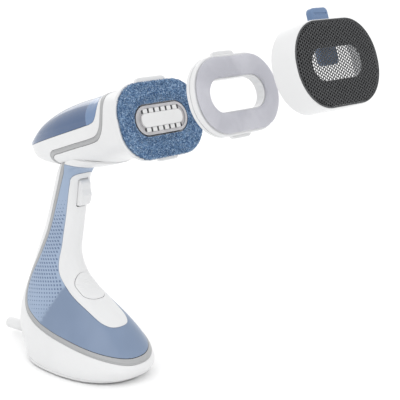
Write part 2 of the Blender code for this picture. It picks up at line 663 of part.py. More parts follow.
def slip_on_parts():
    """The terry pad on the face, the velvet ring and the mesh cap in front of it."""
    pad_frame = ring_plate("pad_frame", "white_plastic", rounded_outline(114, 79, 33.5), stadium(*WINDOW),
                           -7.6, -3.4)
    carve(pad_frame, "UNION", tab("pad_top_tab", 34, 43.6, 46, -7.6, -3.4),
          tab("pad_low_tab", -35, -42, 32, -7.6, -3.4))
    soften(ring_plate("microfibre_pad", "microfibre", rounded_outline(111.4, 76.6, 32), stadium(*WINDOW, 1),
                      -3.0, 0.0), 0.8, 1)

    middle = (0.0, RING_RISE)
    back, front = RING_FRONT - 13.5, RING_FRONT - 3.6
    frame = ring_plate("delicate_frame", "white_plastic", rounded_outline(113, 75.5, 36, middle),
                       stadium(77, 33, 0, middle), back, front)
    carve(frame, "UNION", tab("ring_top_tab", 34, 44, 36, back, front),
          tab("ring_low_tab", -32, -39, 31, back, front))
    soften(ring_plate("delicate_pad", "velvet", rounded_outline(109.6, 72, 35, middle),
                      stadium(77, 33, 0.4, middle), front + 0.3, RING_FRONT), 0.8, 1)

    middle = (0.0, CAP_RISE)
    outline = rounded_outline(115, 77, 37, middle)
    cap = add("cap_shell", slab(outline, CAP_FRONT - 28, CAP_FRONT - 1.8), "white_plastic", HEAD_FRAME)
    room = add("cap_room", slab(rounded_outline(110.6, 72.6, 34.8, middle), CAP_FRONT - 40, CAP_FRONT + 5),
               None, HEAD_FRAME)
    carve(cap, "DIFFERENCE", room)
    slot = add("cartridge_slot", block((CAP_FRONT - 16.4, -11.9, 30), (CAP_FRONT - 8.8, 11.9, 60)), None, HEAD_FRAME)
    carve(cap, "DIFFERENCE", slot)
    ring_plate("cap_inner_plate", "white_plastic", rounded_outline(109.8, 71.8, 34.4, middle),
               stadium(69.8, 28.4, 0, middle), CAP_FRONT - 5.4, CAP_FRONT - 3.6)
    mesh = add("cap_mesh", slab(rounded_outline(112.7, 74.8, 36, middle), CAP_FRONT - 1.5, CAP_FRONT),
               "mesh_black", HEAD_FRAME)
    soften(mesh, 0.5, 1)
    cartridge = add("scent_cartridge", slab(rounded_outline(23, 50, 4.5, (0, 27), 4), CAP_FRONT - 16,
                                            CAP_FRONT - 9.2), "cartridge_blue", HEAD_FRAME)
    soften(cartridge, 0.6, 1)


rear_shell, front_grip = body_casings()
head_casings()
base_parts(rear_shell)
trigger_parts(front_grip)
button_parts(front_grip)
steam_parts()
tank_parts()
slip_on_parts()
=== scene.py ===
"""Looks of the handheld garment steamer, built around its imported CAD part.

World frame: metres, +Z up, the steam head points to +X. Head frame: +X along the
steam axis, +Z across it, origin at the centre of the steam face. Design sizes
below are in mm and repeat the part's own, at a finer resolution.
"""
import json
import math
import random

import bmesh
import bpy
from mathutils import Matrix, Vector, noise

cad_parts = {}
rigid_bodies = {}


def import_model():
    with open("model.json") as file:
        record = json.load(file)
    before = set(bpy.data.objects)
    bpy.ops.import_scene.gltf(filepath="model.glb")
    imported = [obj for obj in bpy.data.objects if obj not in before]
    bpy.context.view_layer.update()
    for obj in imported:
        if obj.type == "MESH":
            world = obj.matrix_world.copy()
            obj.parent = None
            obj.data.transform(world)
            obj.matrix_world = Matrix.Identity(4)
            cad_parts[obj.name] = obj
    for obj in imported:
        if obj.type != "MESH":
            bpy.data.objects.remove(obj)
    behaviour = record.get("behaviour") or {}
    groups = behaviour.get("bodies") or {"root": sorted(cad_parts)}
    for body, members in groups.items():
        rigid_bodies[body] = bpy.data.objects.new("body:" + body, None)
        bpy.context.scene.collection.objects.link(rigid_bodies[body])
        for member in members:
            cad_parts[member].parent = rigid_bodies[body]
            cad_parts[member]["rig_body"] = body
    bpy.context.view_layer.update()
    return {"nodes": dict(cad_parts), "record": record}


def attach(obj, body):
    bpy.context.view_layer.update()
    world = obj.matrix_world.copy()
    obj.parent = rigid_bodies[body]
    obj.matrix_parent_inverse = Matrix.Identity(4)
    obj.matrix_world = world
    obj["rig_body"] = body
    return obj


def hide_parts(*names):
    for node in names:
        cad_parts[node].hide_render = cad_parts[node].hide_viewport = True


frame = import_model()

MM = 0.001
HEAD_TILT = math.radians(18.1)
FACE_CENTRE = (120.4, 0.0, 293.5)
WALL = 2.0
SEAM = 0.4
TRIM_WIDTH = 4.6
SPLIT = 11.5

HALF_BAND = TRIM_WIDTH / 2

# body sections: height, front edge, rear edge, half width
BODY = (
    (1.6, 70, -83, 51), (7, 80, -82, 53), (20, 85.5, -88, 53.5), (40, 72.5, -98, 49),
    (60, 52, -100, 39), (80, 23, -95, 28), (100, -3, -86.5, 21.5), (125, -14.5, -75.5, 17.5),
    (155, -9.8, -61.5, 16), (185, -5, -49, 16.5), (212, -0.8, -37.5, 18), (219, 1.2, -33.2, 19),
    (225, 6.5, -29.7, 20), (229, 19, -27, 21), (233, 38, -24.4, 22.5), (240, 62, -20, 26),
)
# head sections along the axis: place, half width, top, bottom
HEAD = (
    (-206, 2.5, 13, 10), (-203.5, 9.5, 16, -1.5), (-190, 19, 22.5, -9.5), (-167, 27, 32.5, -17),
    (-136, 33, 38.7, -23.5), (-103, 36.5, 40.8, -29), (-70, 39, 40, -31.7), (-45, 41.5, 39.2, -32.3),
    (-26, 45.5, 38, -34.3), (-12, 51.5, 36.5, -36.5),
)
# side-view courses: (forward, up) in the body's frame, then in the head's frame
BODY_STRIPE = (
    (-4, 246), (-10, 234), (-14, 223), (-19, 213), (-32, 183), (-46.5, 148), (-65, 114),
    (-77.5, 92), (-79, 76), (-67, 61), (-44, 52), (-15, 46), (18, 41), (47, 35.5), (71, 30),
    (84, 25.5), (96, 20),
)
GRIP_EDGE = (
    (22, 222.5), (3, 220.6), (-2.5, 218.2), (-6, 214.5), (-8, 208), (-10.2, 200), (-16.5, 172),
    (-23.5, 142), (-28, 117), (-25, 104), (-7, 88), (28, 70), (46, 61), (55, 57.6), (75, 56),
)
CREASE = ((-2, 104), (-14, 92), (-23, 74), (-29, 60), (-33, 44))
HEAD_STRIPE = (
    (-64, 60), (-60, 43), (-51, 37.5), (-43.5, 30), (-41, 21), (-43.5, 11), (-50, 2), (-60, -3.6),
    (-72, -4.9), (-100, -4.8), (-133, -4.8), (-147, -5), (-155, -9), (-156, -16), (-151, -25),
    (-145, -36),
)
TANK_EDGE = (
    (-230, SPLIT), (-72, SPLIT), (-64, SPLIT + 0.3), (-57, 13.5), (-52.5, 18), (-50.5, 25),
    (-52.5, 32), (-60, 38), (-74, 43), (-90, 60),
)
COLLAR_LEVEL = 231.6
WINDOW = (72.7, 31.8)
PLATE = (70.9, 30)
SLOT_PITCH = 8.2
SLOTS = 7
SLOT_HEIGHT = 9.4
RING_RISE = 1.7
RING_WINDOW = (76.0, 30.8)
RING_FRONT = 108.7
CAP_RISE = 2.0
CAP_FRONT = 227.5
VALVE = (-14.0, 20.0)
FILLER = (15.0, 20.0)
TRIGGER_PIVOT = (-13.0, 0.0, 206.0)
BUTTON_CENTRE = (6.6, 0.0, 93.6)
BUTTON_SLOPE = math.radians(40)
BUTTON_SIZE = (36.3, 28.8)
CORD_ENTRY = (-87.5, 0.0, 17.0)
CORD_DROP = math.radians(4)
# (section height, inset, shown height) of the foot's rounded edge and the groove above it
FOOT_EDGE = (
    (2.4, 2.2, 1.6), (2.4, 0.9, 1.75), (2.4, 0.25, 2.3), (3.2, 0.0, 3.2), (5.9, 0.0, 5.9),
    (6.2, 0.05, 6.2), (6.4, 0.45, 6.4), (6.9, 0.45, 6.9), (7.1, 0.05, 7.1), (7.4, 0.0, 7.4),
)
# (offset, rise) across the raised grey trim, with its fine groove
TRIM_SECTION = (
    (-2.3, -0.9), (-2.3, 0.05), (-2.1, 0.28), (-1.6, 0.42), (-0.6, 0.5), (0.5, 0.5), (1.05, 0.42),
    (1.2, 0.2), (1.35, 0.42), (1.75, 0.48), (2.1, 0.3), (2.3, 0.05), (2.3, -0.9),
)
BODY_POWER = 2.3
HEAD_BACK, HEAD_FRONT = -206, -12
CREASE_TOP = 106
TANK_RIM = -70.0
RIBS_FROM, RIBS_TO, RIB_PITCH = 91.0, 101.0, 2.0
DOT_ORIGIN = Vector((-42.0, 0.0, 130.0))
DOT_LEAN = math.radians(24.5)
DOT_ROW = 2.5
DOT_COLUMN = 7.0
DOT_REACH = (1.9, 1.35)
DOT_RISE = 0.14
PILE_LOOPS = 6500
CLOTH_SCALE = 20.0
CLOTH_FRAMES = 24
VELVET_CAP = 0.9
NET_CELL = 3.0
NET_ROW = NET_CELL * 0.866
NET_HOLE = 0.37
NET_CORNERS = 12
NET_FALL = 1.1
NET_BEND = 4.5
HULL_SIDES = 128
COARSE_SIDES = 96
PATH_STEPS = 8
FINE_EDGE = (0.3, 2, 60.0)
CUT, KEEP, JOIN = "DIFFERENCE", "INTERSECT", "UNION"

for extra in [o for o in bpy.data.objects if "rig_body" not in o and not o.name.startswith("body:")]:
    bpy.data.objects.remove(extra)
SCENE = bpy.context.scene


def placed(place, tilt=0.0):
    """A frame in mm: a place, and a tilt of +X towards +Z."""
    return Matrix.Translation(place) @ Matrix.Rotation(-tilt, 4, "Y")


WORLD = Matrix.Identity(4)
HEAD_FRAME = placed(FACE_CENTRE, HEAD_TILT)
TRIGGER_FRAME = placed(TRIGGER_PIVOT)
BUTTON_FRAME = placed(BUTTON_CENTRE, -BUTTON_SLOPE)
CORD_FRAME = placed(CORD_ENTRY, CORD_DROP)
TO_HEAD = (Matrix.Scale(MM, 4) @ HEAD_FRAME).inverted()


# ---- curves and sections ----
def clamp(value):
    """The value, held between 0 and 1."""
    return min(1.0, max(0.0, value))


def eased(share):
    """A smooth step from 0 to 1."""
    return share * share * (3 - 2 * share)


def hermite(table, place):
    """Values of a table at a place, on smooth curves through its rows."""
    index = 0
    while index < len(table) - 2 and place > table[index + 1][0]:
        index += 1
    low, high = table[index], table[index + 1]
    before = table[max(index - 1, 0)]
    after = table[min(index + 2, len(table) - 1)]
    span = high[0] - low[0]
    t = (place - low[0]) / span
    values = []
    for k in range(1, len(low)):
        slope_low = (high[k] - before[k]) / (high[0] - before[0]) * span
        slope_high = (after[k] - low[k]) / (after[0] - low[0]) * span
        values.append(
            (2 * t**3 - 3 * t**2 + 1) * low[k] + (t**3 - 2 * t**2 + t) * slope_low
            + (3 * t**2 - 2 * t**3) * high[k] + (t**3 - t**2) * slope_high
        )
    return values


def between(first, second, t, t_first, t_second):
    """The point at t on the straight run from one knot to another."""
    share = (t - t_first) / (t_second - t_first)
    return tuple(a + (b - a) * share for a, b in zip(first, second))


def smooth_path(points, steps=PATH_STEPS):
    """A centripetal Catmull-Rom curve through points, which never overshoots."""
    first = tuple(2 * a - b for a, b in zip(points[0], points[1]))
    last = tuple(2 * a - b for a, b in zip(points[-1], points[-2]))
    ends = [first, *points, last]
    path = []
    for group in zip(ends, ends[1:], ends[2:], ends[3:]):
        knots = [0.0]
        for a, b in zip(group, group[1:]):
            knots.append(knots[-1] + math.sqrt(math.dist(a, b)))
        for step in range(steps):
            t = knots[1] + (knots[2] - knots[1]) * step / steps
            level = list(group)
            for order, low, high in ((1, 0, 1), (2, 0, 2), (3, 1, 2)):
                level = [between(level[k], level[k + 1], t, knots[k + low], knots[k + high])
                         for k in range(4 - order)]
            path.append(level[0])
    path.append(tuple(points[-1]))
    return path


def shifted(path, distance):
    """The path moved sideways, to the right of its direction of travel."""
    moved = []
    for index, point in enumerate(path):
        before = path[max(index - 1, 0)]
        after = path[min(index + 1, len(path) - 1)]
        along = (after[0] - before[0], after[1] - before[1])
        size = math.hypot(*along)
        moved.append((point[0] + along[1] / size * distance, point[1] - along[0] / size * distance))
    return moved


def side_of(path, point):
    """Signed distance of a side-view point from a path: positive to the left of its travel."""
    best, sign = 1e9, 1.0
    for a, b in zip(path, path[1:]):
        run = (b[0] - a[0], b[1] - a[1])
        off = (point[0] - a[0], point[1] - a[1])
        t = clamp((off[0] * run[0] + off[1] * run[1]) / (run[0] ** 2 + run[1] ** 2))
        gap = math.hypot(off[0] - run[0] * t, off[1] - run[1] * t)
        if gap < best:
            best = gap
            sign = math.copysign(1.0, run[0] * off[1] - run[1] * off[0])
    return best * sign


def superellipse(angle, power):
    """A point on a unit superellipse."""
    c, s = math.cos(angle), math.sin(angle)
    return math.copysign(abs(c) ** (2 / power), c), math.copysign(abs(s) ** (2 / power), s)


def body_ring(height, segments=HULL_SIDES, inset=0.0, shown_height=None):
    """The body's outline at a height: a soft rectangle between its front and rear edges."""
    front, rear, half = hermite(BODY, height)
    ring = []
    for index in range(segments):
        x, y = superellipse(math.tau * index / segments, BODY_POWER)
        ring.append(((front + rear) / 2 + x * ((front - rear) / 2 - inset), y * (half - inset),
                     height if shown_height is None else shown_height))
    return ring


def head_shape(place):
    """Half width, top, bottom, the level where the two halves meet, and their power."""
    half, top, bottom = hermite(HEAD, place)
    flare = clamp((place + 60) / 48)
    return half, top, bottom, SPLIT * (1 - eased(flare)), BODY_POWER + 0.8 * flare


def head_ring(place, segments=HULL_SIDES, inset=0.0):
    """The head's outline across its axis: two half superellipses that meet at the split."""
    half, top, bottom, level, power = head_shape(place)
    ring = []
    for index in range(segments):
        y, z = superellipse(math.tau * index / segments, power)
        reach = top - level if z > 0 else level - bottom
        ring.append((place, -y * (half - inset), level + z * (reach - inset)))
    return ring


def body_point(x, z):
    """The left point of the body at a side-view place, or None past its outline."""
    if not BODY[0][0] <= z <= BODY[-1][0]:
        return None
    front, rear, half = hermite(BODY, z)
    c = (x - (front + rear) / 2) / ((front - rear) / 2)
    if abs(c) > 1:
        return None
    return x, half * (1 - abs(c) ** BODY_POWER) ** (1 / BODY_POWER), z


def head_point(x, z):
    """The left point of the head at a side-view place in its frame, or None past its outline."""
    half, top, bottom, level, power = head_shape(x)
    s = (z - level) / (top - level if z > level else level - bottom)
    if abs(s) > 1:
        return None
    return x, half * (1 - abs(s) ** power) ** (1 / power), z


def rounded_outline(width, height, radius, centre=(0.0, 0.0), corner=14):
    """A rounded rectangle as (across, up) points."""
    radius = min(radius, width / 2 - 0.01, height / 2 - 0.01)
    outline = []
    for quarter in range(4):
        side = math.pi / 2 * quarter
        for step in range(corner + 1):
            angle = side + math.pi / 2 * step / corner
            cx = (width / 2 - radius) * (1 if quarter in (0, 3) else -1)
            cy = (height / 2 - radius) * (1 if quarter in (0, 1) else -1)
            outline.append((centre[0] + cx + radius * math.cos(angle),
                            centre[1] + cy + radius * math.sin(angle)))
    return outline


def stadium(width, height, grow=0.0, centre=(0.0, 0.0)):
    """A slot-shaped outline, grown evenly."""
    return rounded_outline(width + grow, height + grow, (height + grow) / 2, centre)


# ---- materials ----
class Nodes:
    """Short calls for building one procedural material."""

    def __init__(self, name):
        self.material = bpy.data.materials.new(name)
        self.material.use_nodes = True
        self.tree = self.material.node_tree
        self.shader = self.tree.nodes["Principled BSDF"]
        self.place = self.new("TexCoord").outputs["Object"]

    def new(self, kind, sockets=(), **settings):
        """A node with its settings, and its named or numbered sockets linked or set."""
        node = self.tree.nodes.new("ShaderNode" + kind)
        for key, value in settings.items():
            setattr(node, key, value)
        for key, value in dict(sockets).items():
            if isinstance(value, bpy.types.NodeSocket):
                self.tree.links.new(value, node.inputs[key])
            else:
                node.inputs[key].default_value = value
        return node

    def attribute(self, name):
        """A value that the mesh carries at each vertex."""
        return self.new("Attribute", attribute_name=name).outputs["Fac"]

    def noise(self, scale, detail=2.0, roughness=0.5, distortion=0.0):
        """A noise over the object: scale is in features per metre."""
        return self.new("TexNoise", {"Vector": self.place, "Scale": scale, "Detail": detail,
                                     "Roughness": roughness, "Distortion": distortion}).outputs["Fac"]

    def cells(self, scale):
        """A random tone for each small cell: scale is in cells per metre."""
        return self.new("TexVoronoi", {"Vector": self.place, "Scale": scale}).outputs["Color"]

    def ramp(self, source, *stops, smooth=True):
        """A colour ramp through (place, colour) stops."""
        node = self.new("ValToRGB", {"Fac": source})
        node.color_ramp.interpolation = "EASE" if smooth else "LINEAR"
        elements = node.color_ramp.elements
        while len(elements) < len(stops):
            elements.new(0.5)
        for element, (place, colour) in zip(elements, stops):
            element.position = place
            element.color = (*colour, 1.0)
        return node.outputs["Color"]

    def spread(self, source, low, high):
        """A noise's usual range, spread between two values."""
        return self.new("MapRange", {"Value": source, "From Min": 0.3, "From Max": 0.7, "To Min": low,
                                     "To Max": high}).outputs["Result"]

    def math(self, operation, *values):
        return self.new("Math", dict(enumerate(values)), operation=operation).outputs["Value"]

    def mix(self, factor, first, second):
        """A blend of one colour source and a source or a fixed colour."""
        if not isinstance(second, bpy.types.NodeSocket):
            second = (*second, 1.0)
        return self.new("Mix", {0: factor, 6: first, 7: second}, data_type="RGBA").outputs[2]

    def bump(self, height, distance, strength=1.0):
        made = self.new("Bump", {"Distance": distance, "Strength": strength, "Height": height})
        self.tree.links.new(made.outputs["Normal"], self.shader.inputs["Normal"])

    def colour(self, source):
        self.tree.links.new(source, self.shader.inputs["Base Color"])

    def rough(self, source):
        self.tree.links.new(source, self.shader.inputs["Roughness"])

    def fixed(self, **values):
        """Constant values straight on the shader's sockets."""
        for key, value in values.items():
            self.shader.inputs[key.replace("_", " ")].default_value = value


def shade(colour, factor):
    return tuple(channel * factor for channel in colour)


def textured(name, tone, gloss, grain, **fixed):
    """Three noises, each by scale and detail: a ramp of colours, a range of gloss and a bump."""
    n = Nodes(name)
    scale, detail, *stops = tone
    n.colour(n.ramp(n.noise(scale, detail), *stops))
    scale, detail, low, high = gloss
    n.rough(n.spread(n.noise(scale, detail), low, high))
    scale, detail, distance, strength = grain
    n.bump(n.noise(scale, detail), distance, strength)
    n.fixed(**fixed)
    return n.material


def plastic(name, colour, roughness, grain=0.00004, coat=0.0, grain_scale=1500.0):
    """Moulded plastic: fine tool grain, a slow change of tone and slightly uneven gloss."""
    return textured(name, (14.0, 2.0, (0.3, shade(colour, 0.97)), (0.7, shade(colour, 1.015))),
                    (60.0, 4.0, roughness - 0.04, roughness + 0.05), (grain_scale, 3.0, grain, 0.6),
                    Coat_Weight=coat, Coat_Roughness=0.12)


def metal(name, colour, roughness, grain_scale=900.0):
    return textured(name, (80.0, 3.0, (0.35, shade(colour, 0.9)), (0.65, colour)),
                    (300.0, 4.0, roughness - 0.06, roughness + 0.08), (grain_scale, 4.0, 0.00006, 0.5),
                    Metallic=1.0)


def net_material(name, dark, light, roughness):
    """Knitted polyester thread, with the twist of its yarn."""
    return textured(name, (1500.0, 2.0, (0.38, dark), (0.62, light)),
                    (500.0, 2.0, roughness - 0.08, roughness + 0.08), (3000.0, 2.0, 0.00008, 0.8))


def panel_material():
    """Slate-blue moulded panel: matte above the crease, glossier and darker below it."""
    n = Nodes("slate_blue_panel")
    zone = n.attribute("base_zone")
    slow = n.noise(18.0, 2.0)
    handle = n.ramp(slow, (0.3, (0.285, 0.365, 0.495)), (0.7, (0.312, 0.395, 0.53)))
    base = n.ramp(slow, (0.3, (0.175, 0.235, 0.345)), (0.7, (0.195, 0.258, 0.375)))
    n.colour(n.mix(zone, handle, base))
    uneven = n.spread(n.noise(50.0, 3.0), -0.03, 0.03)
    n.rough(n.math("ADD", n.math("MULTIPLY_ADD", zone, -0.1, 0.42), uneven))
    n.bump(n.noise(1500.0, 3.0), 0.00004, 0.6)
    return n.material


def tank_material():
    """Dark translucent blue tank with a clear glossy surface."""
    n = Nodes("translucent_blue_tank")
    deep = n.ramp(n.noise(9.0, 1.0), (0.3, (0.032, 0.085, 0.205)), (0.7, (0.045, 0.105, 0.24)))
    n.colour(n.mix(n.attribute("front_band"), deep, (0.13, 0.23, 0.42)))
    n.rough(n.spread(n.noise(25.0, 2.0), 0.05, 0.1))
    n.bump(n.noise(30.0, 1.0), 0.00008, 0.3)
    n.fixed(Transmission_Weight=0.16, IOR=1.49, Coat_Weight=0.5, Coat_Roughness=0.04)
    return n.material


def terry_material(name, dark, mid, light, fleck):
    """Looped pile: each tuft its own tone, with pale and deep flecks between."""
    n = Nodes(name)
    tuft = n.noise(900.0, 2.0, 0.6)
    tone = n.ramp(n.cells(980.0), (0.26, dark), (0.46, mid), (0.68, light), (0.92, fleck),
                  smooth=False)
    n.colour(n.mix(n.spread(tuft, 0.0, 0.45), tone, dark))
    n.rough(n.spread(n.noise(300.0, 2.0), 0.85, 1.0))
    n.bump(n.math("ADD", n.noise(1700.0, 3.0), tuft), 0.0003, 0.9)
    n.fixed(Sheen_Weight=0.35, Sheen_Roughness=0.45, Sheen_Tint=(0.6, 0.75, 1.0, 1.0),
            Specular_IOR_Level=0.2)
    return n.material


def velvet_material():
    """Short lilac-grey pile, with a soft nap in two tones."""
    n = Nodes("lilac_grey_velvet")
    nap = n.noise(34.0, 3.0, 0.5, 0.6)
    fine = n.noise(1800.0, 3.0)
    tone = n.ramp(nap, (0.3, (0.47, 0.47, 0.515)), (0.7, (0.57, 0.57, 0.615)))
    n.colour(n.mix(n.spread(fine, 0.0, 0.3), tone, (0.42, 0.42, 0.465)))
    n.rough(n.spread(n.noise(200.0, 2.0), 0.8, 0.95))
    n.bump(n.math("ADD", fine, n.math("MULTIPLY", nap, 2.0)), 0.00015, 0.7)
    n.fixed(Sheen_Weight=0.6, Sheen_Roughness=0.35, Sheen_Tint=(0.9, 0.9, 1.0, 1.0),
            Specular_IOR_Level=0.2)
    return n.material


BY_SLOT = {
    "white_plastic": plastic("white_satin_plastic", (0.725, 0.728, 0.732), 0.32),
    "grey_trim": plastic("grey_satin_trim", (0.375, 0.38, 0.385), 0.33, 0.00003),
    "dark_plastic": plastic("dark_plastic", (0.03, 0.03, 0.034), 0.5, 0.00008),
    "rubber_grey": plastic("grey_rubber", (0.09, 0.09, 0.1), 0.75, 0.0001),
    "silicone": plastic("silicone", (0.7, 0.68, 0.62), 0.5, 0.00005),
    "circuit_green": plastic("circuit_board", (0.03, 0.2, 0.08), 0.45, 0.00005, 0.3),
    "copper_wire": plastic("insulated_wire", (0.5, 0.1, 0.06), 0.5, 0.00006),
    "cartridge_blue": plastic("slate_blue_plastic", (0.125, 0.2, 0.345), 0.36, 0.00004),
    "cast_metal": metal("cast_metal", (0.56, 0.555, 0.57), 0.42, 1400.0),
    "bright_steel": metal("bright_steel", (0.76, 0.77, 0.79), 0.25),
    "blue_panel": panel_material(),
    "tank_blue": tank_material(),
    "microfibre": terry_material("blue_terry", (0.045, 0.095, 0.2), (0.115, 0.215, 0.37),
                                 (0.22, 0.35, 0.53), (0.5, 0.63, 0.78)),
    "velvet": velvet_material(),
    "mesh_black": net_material("black_net", (0.03, 0.031, 0.034), (0.085, 0.088, 0.092), 0.6),
}
PILE = terry_material("blue_terry_pile", (0.06, 0.125, 0.25), (0.135, 0.245, 0.41), (0.26, 0.4, 0.58),
                      (0.56, 0.69, 0.84))
FELT = net_material("black_liner", (0.006, 0.006, 0.007), (0.014, 0.014, 0.015), 0.85)
CERAMIC = plastic("white_ceramic", (0.74, 0.74, 0.74), 0.38, 0.00006, 0.0, 2200.0)
RECESS = metal("grey_recess", (0.5, 0.49, 0.5), 0.5, 1400.0)
# The dots' darker blue is painted shade: it stands for the shadow inside the real recessed dots, which are
# built here as low raised studs.
PAINTED_SHADE_DOTS = textured("slate_blue_dots", (120.0, 2.0, (0.3, (0.11, 0.16, 0.265)), (0.7, (0.13, 0.182, 0.295))),
                (60.0, 3.0, 0.4, 0.5), (2000.0, 2.0, 0.00003, 0.6))
for row in frame["record"]["subparts"]:
    node = frame["nodes"][row["node"]]
    node.data.materials.clear()
    node.data.materials.append(BY_SLOT[row["material_slot"]])


# ---- building pieces ----
def linked(name, data):
    """A new object in the scene."""
    made = bpy.data.objects.new(name, data)
    SCENE.collection.objects.link(made)
    return made


def new_object(name, bm, place=WORLD):
    """A bmesh in mm, in a frame, as an object whose mesh is in world metres."""
    bmesh.ops.transform(bm, matrix=Matrix.Scale(MM, 4) @ place, verts=bm.verts)
    mesh = bpy.data.meshes.new(name)
    bm.to_mesh(mesh)
    bm.free()
    return linked(name, mesh)


def show(piece, body, slot, *nodes, material=None, sharp=32.0):
    """Apply, shade, give the material, ride on a body and stand for CAD nodes."""
    bpy.context.view_layer.update()
    evaluated = piece.evaluated_get(bpy.context.evaluated_depsgraph_get())
    mesh = bpy.data.meshes.new_from_object(evaluated)
    piece.modifiers.clear()
    piece.data = mesh
    mesh.materials.clear()
    mesh.materials.append(material or BY_SLOT[slot])
    mesh.shade_smooth()
    if sharp:
        mesh.set_sharp_from_angle(angle=math.radians(sharp))
    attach(piece, body)
    if nodes:
        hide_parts(*nodes)
    return piece


def weave(bm, rows, closed=False, flip=False):
    """Faces between rows of vertices; closed joins the last row to the first."""
    count = len(rows[0])
    for lower, upper in zip(rows, rows[1:] + rows[:1] if closed else rows[1:]):
        for i in range(count):
            j = (i + 1) % count
            face = (lower[i], lower[j], upper[j], upper[i])
            bm.faces.new(face[::-1] if flip else face)


def loft(rings, caps=True, closed=False):
    """A skin through rings of equal count, capped or closed into a loop."""
    bm = bmesh.new()
    rows = [[bm.verts.new(point) for point in ring] for ring in rings]
    weave(bm, rows, closed)
    if caps and not closed:
        bm.faces.new(rows[0])
        bm.faces.new(rows[-1])
    bmesh.ops.recalc_face_normals(bm, faces=bm.faces)
    if bm.calc_volume(signed=True) < 0:
        bmesh.ops.reverse_faces(bm, faces=bm.faces)
    return bm


def slab(outline, low, high, axis=0):
    """An outline in two coordinates, extruded along the third: X (0), Y (1) or Z (2)."""
    return loft([[(*point[:axis], level, *point[axis:]) for point in outline] for level in (low, high)])


def hidden(piece):
    """Mark a piece as a Boolean's tool, which is removed at the end."""
    piece.hide_render = True
    piece["cutter"] = True
    return piece


def cutter(name, bm, place=WORLD):
    return hidden(new_object(name, bm, place))


def side_cutter(name, outline, place=WORLD, reach=80.0):
    """A prism across the object, from a side-view outline."""
    return cutter(name, slab(outline, -reach, reach, 1), place)


def hole(name, outline, low, high):
    """A prism along the head's axis."""
    return cutter(name, slab(outline, low, high), HEAD_FRAME)


def carve(piece, operation, *tools):
    """Cut, keep or join with other objects."""
    for tool in tools:
        step = piece.modifiers.new(tool.name, "BOOLEAN")
        step.object = tool
        step.operation = operation
    return piece


def soften(piece, width, segments=3, angle=40.0):
    """Round the edges that are sharper than an angle."""
    edge = piece.modifiers.new("edge", "BEVEL")
    edge.width = width * MM
    edge.segments = segments
    edge.limit_method = "ANGLE"
    edge.angle_limit = math.radians(angle)


def casing(name, skin, keep, cut, slot, node):
    """A hollow casing: what some tools keep and others leave of a skin, with the wall's thickness."""
    piece = linked(name, skin)
    wall = piece.modifiers.new("wall", "SOLIDIFY")
    wall.thickness = WALL * MM
    wall.offset = -1.0
    wall.use_even_offset = True
    carve(piece, KEEP, *keep)
    carve(piece, CUT, *cut)
    return show(piece, "housing", slot, node)


def stepped(name, outline_at, steps):
    """A solid of outlines in the head's frame: steps are (place on the axis, inset)."""
    rings = [[(along, across, up) for across, up in outline_at(inset)] for along, inset in steps]
    return new_object(name, loft(rings), HEAD_FRAME)


def rounded_steps(low, high, radius, both=True, steps=4):
    """Steps of a slab whose front edge, and rear edge where both, is rounded."""
    rows = []
    for k in range(steps + 1):
        angle = math.pi / 2 * k / steps
        rows.append((high - radius + radius * math.sin(angle), radius * (1 - math.cos(angle))))
    rear = [(low + high - along, inset) for along, inset in rows[::-1]] if both else [(low, 0.0)]
    return rear + rows


def framed(width, height, radius, centre=(0.0, 0.0)):
    """An outline that shrinks by an inset."""
    return lambda inset: rounded_outline(width - 2 * inset, height - 2 * inset,
                                         max(radius - inset, 0.3), centre, 20)


def built(name, size, steps, body, slot, *nodes, joins=(), holes=(), edge=(), material=None):
    """A stepped piece with its tabs joined, its holes cut and its edges rounded, then shown."""
    piece = stepped(name, framed(*size), steps)
    carve(piece, JOIN, *joins)
    carve(piece, CUT, *holes)
    if edge:
        soften(piece, *edge)
    return show(piece, body, slot, *nodes, material=material)


def mark(piece, name, value_at):
    """Give each vertex a value that the material reads."""
    zone = piece.data.attributes.new(name, "FLOAT", "POINT")
    for vertex in piece.data.vertices:
        zone.data[vertex.index].value = value_at(vertex.co)


def grown(ring, distance):
    """A ring about its own centre, grown by a distance."""
    centre = [sum(point[k] for point in ring) / len(ring) for k in range(3)]
    result = []
    for point in ring:
        arm = [point[k] - centre[k] for k in range(3)]
        size = math.sqrt(sum(value * value for value in arm))
        result.append(tuple(centre[k] + arm[k] * (size + distance) / size for k in range(3)))
    return result


def steps_between(low, high, step):
    count = max(1, round((high - low) / step))
    return [low + (high - low) * k / count for k in range(count + 1)]


# ---- the two hulls and the lines that divide them ----
body_rings = [body_ring(height, HULL_SIDES, inset, shown) for height, inset, shown in FOOT_EDGE]
body_rings += [body_ring(level) for level in steps_between(9.0, 240.0, 1.8)]
body_skin = cutter("body_skin", loft(body_rings, caps=False)).data

head_places = [HEAD_BACK, -205.5, -204.8, -204, -203, -201.5, -199.5]
head_places += steps_between(-197, HEAD_FRONT, 2.0)
head_bm = loft([head_ring(place) for place in head_places])
for cap in [face for face in head_bm.faces if len(face.verts) == HULL_SIDES]:
    if cap.calc_center_median().x > HEAD_FRONT - 8:
        bmesh.ops.delete(head_bm, geom=[cap], context="FACES_ONLY")
head_skin = cutter("head_skin", head_bm, HEAD_FRAME).data

coarse_rings = [head_ring(place, COARSE_SIDES)
                for place in [HEAD_BACK, -204, -201, -197] + steps_between(-192, HEAD_FRONT, 4.0)]


def head_body(name, rings, growth):
    """The head's solid form, grown by a distance."""
    return cutter(name, loft([grown(ring, growth) for ring in rings]), HEAD_FRAME)


head_solid = head_body("head_solid", coarse_rings, SEAM)
head_core = head_body("head_core", coarse_rings, -0.3)
tank_room = head_body("tank_room", coarse_rings[4:], -WALL)
neck_room = cutter("neck_room", loft([body_ring(level, COARSE_SIDES, 4.0)
                                      for level in steps_between(205, 240, 3.5)]))

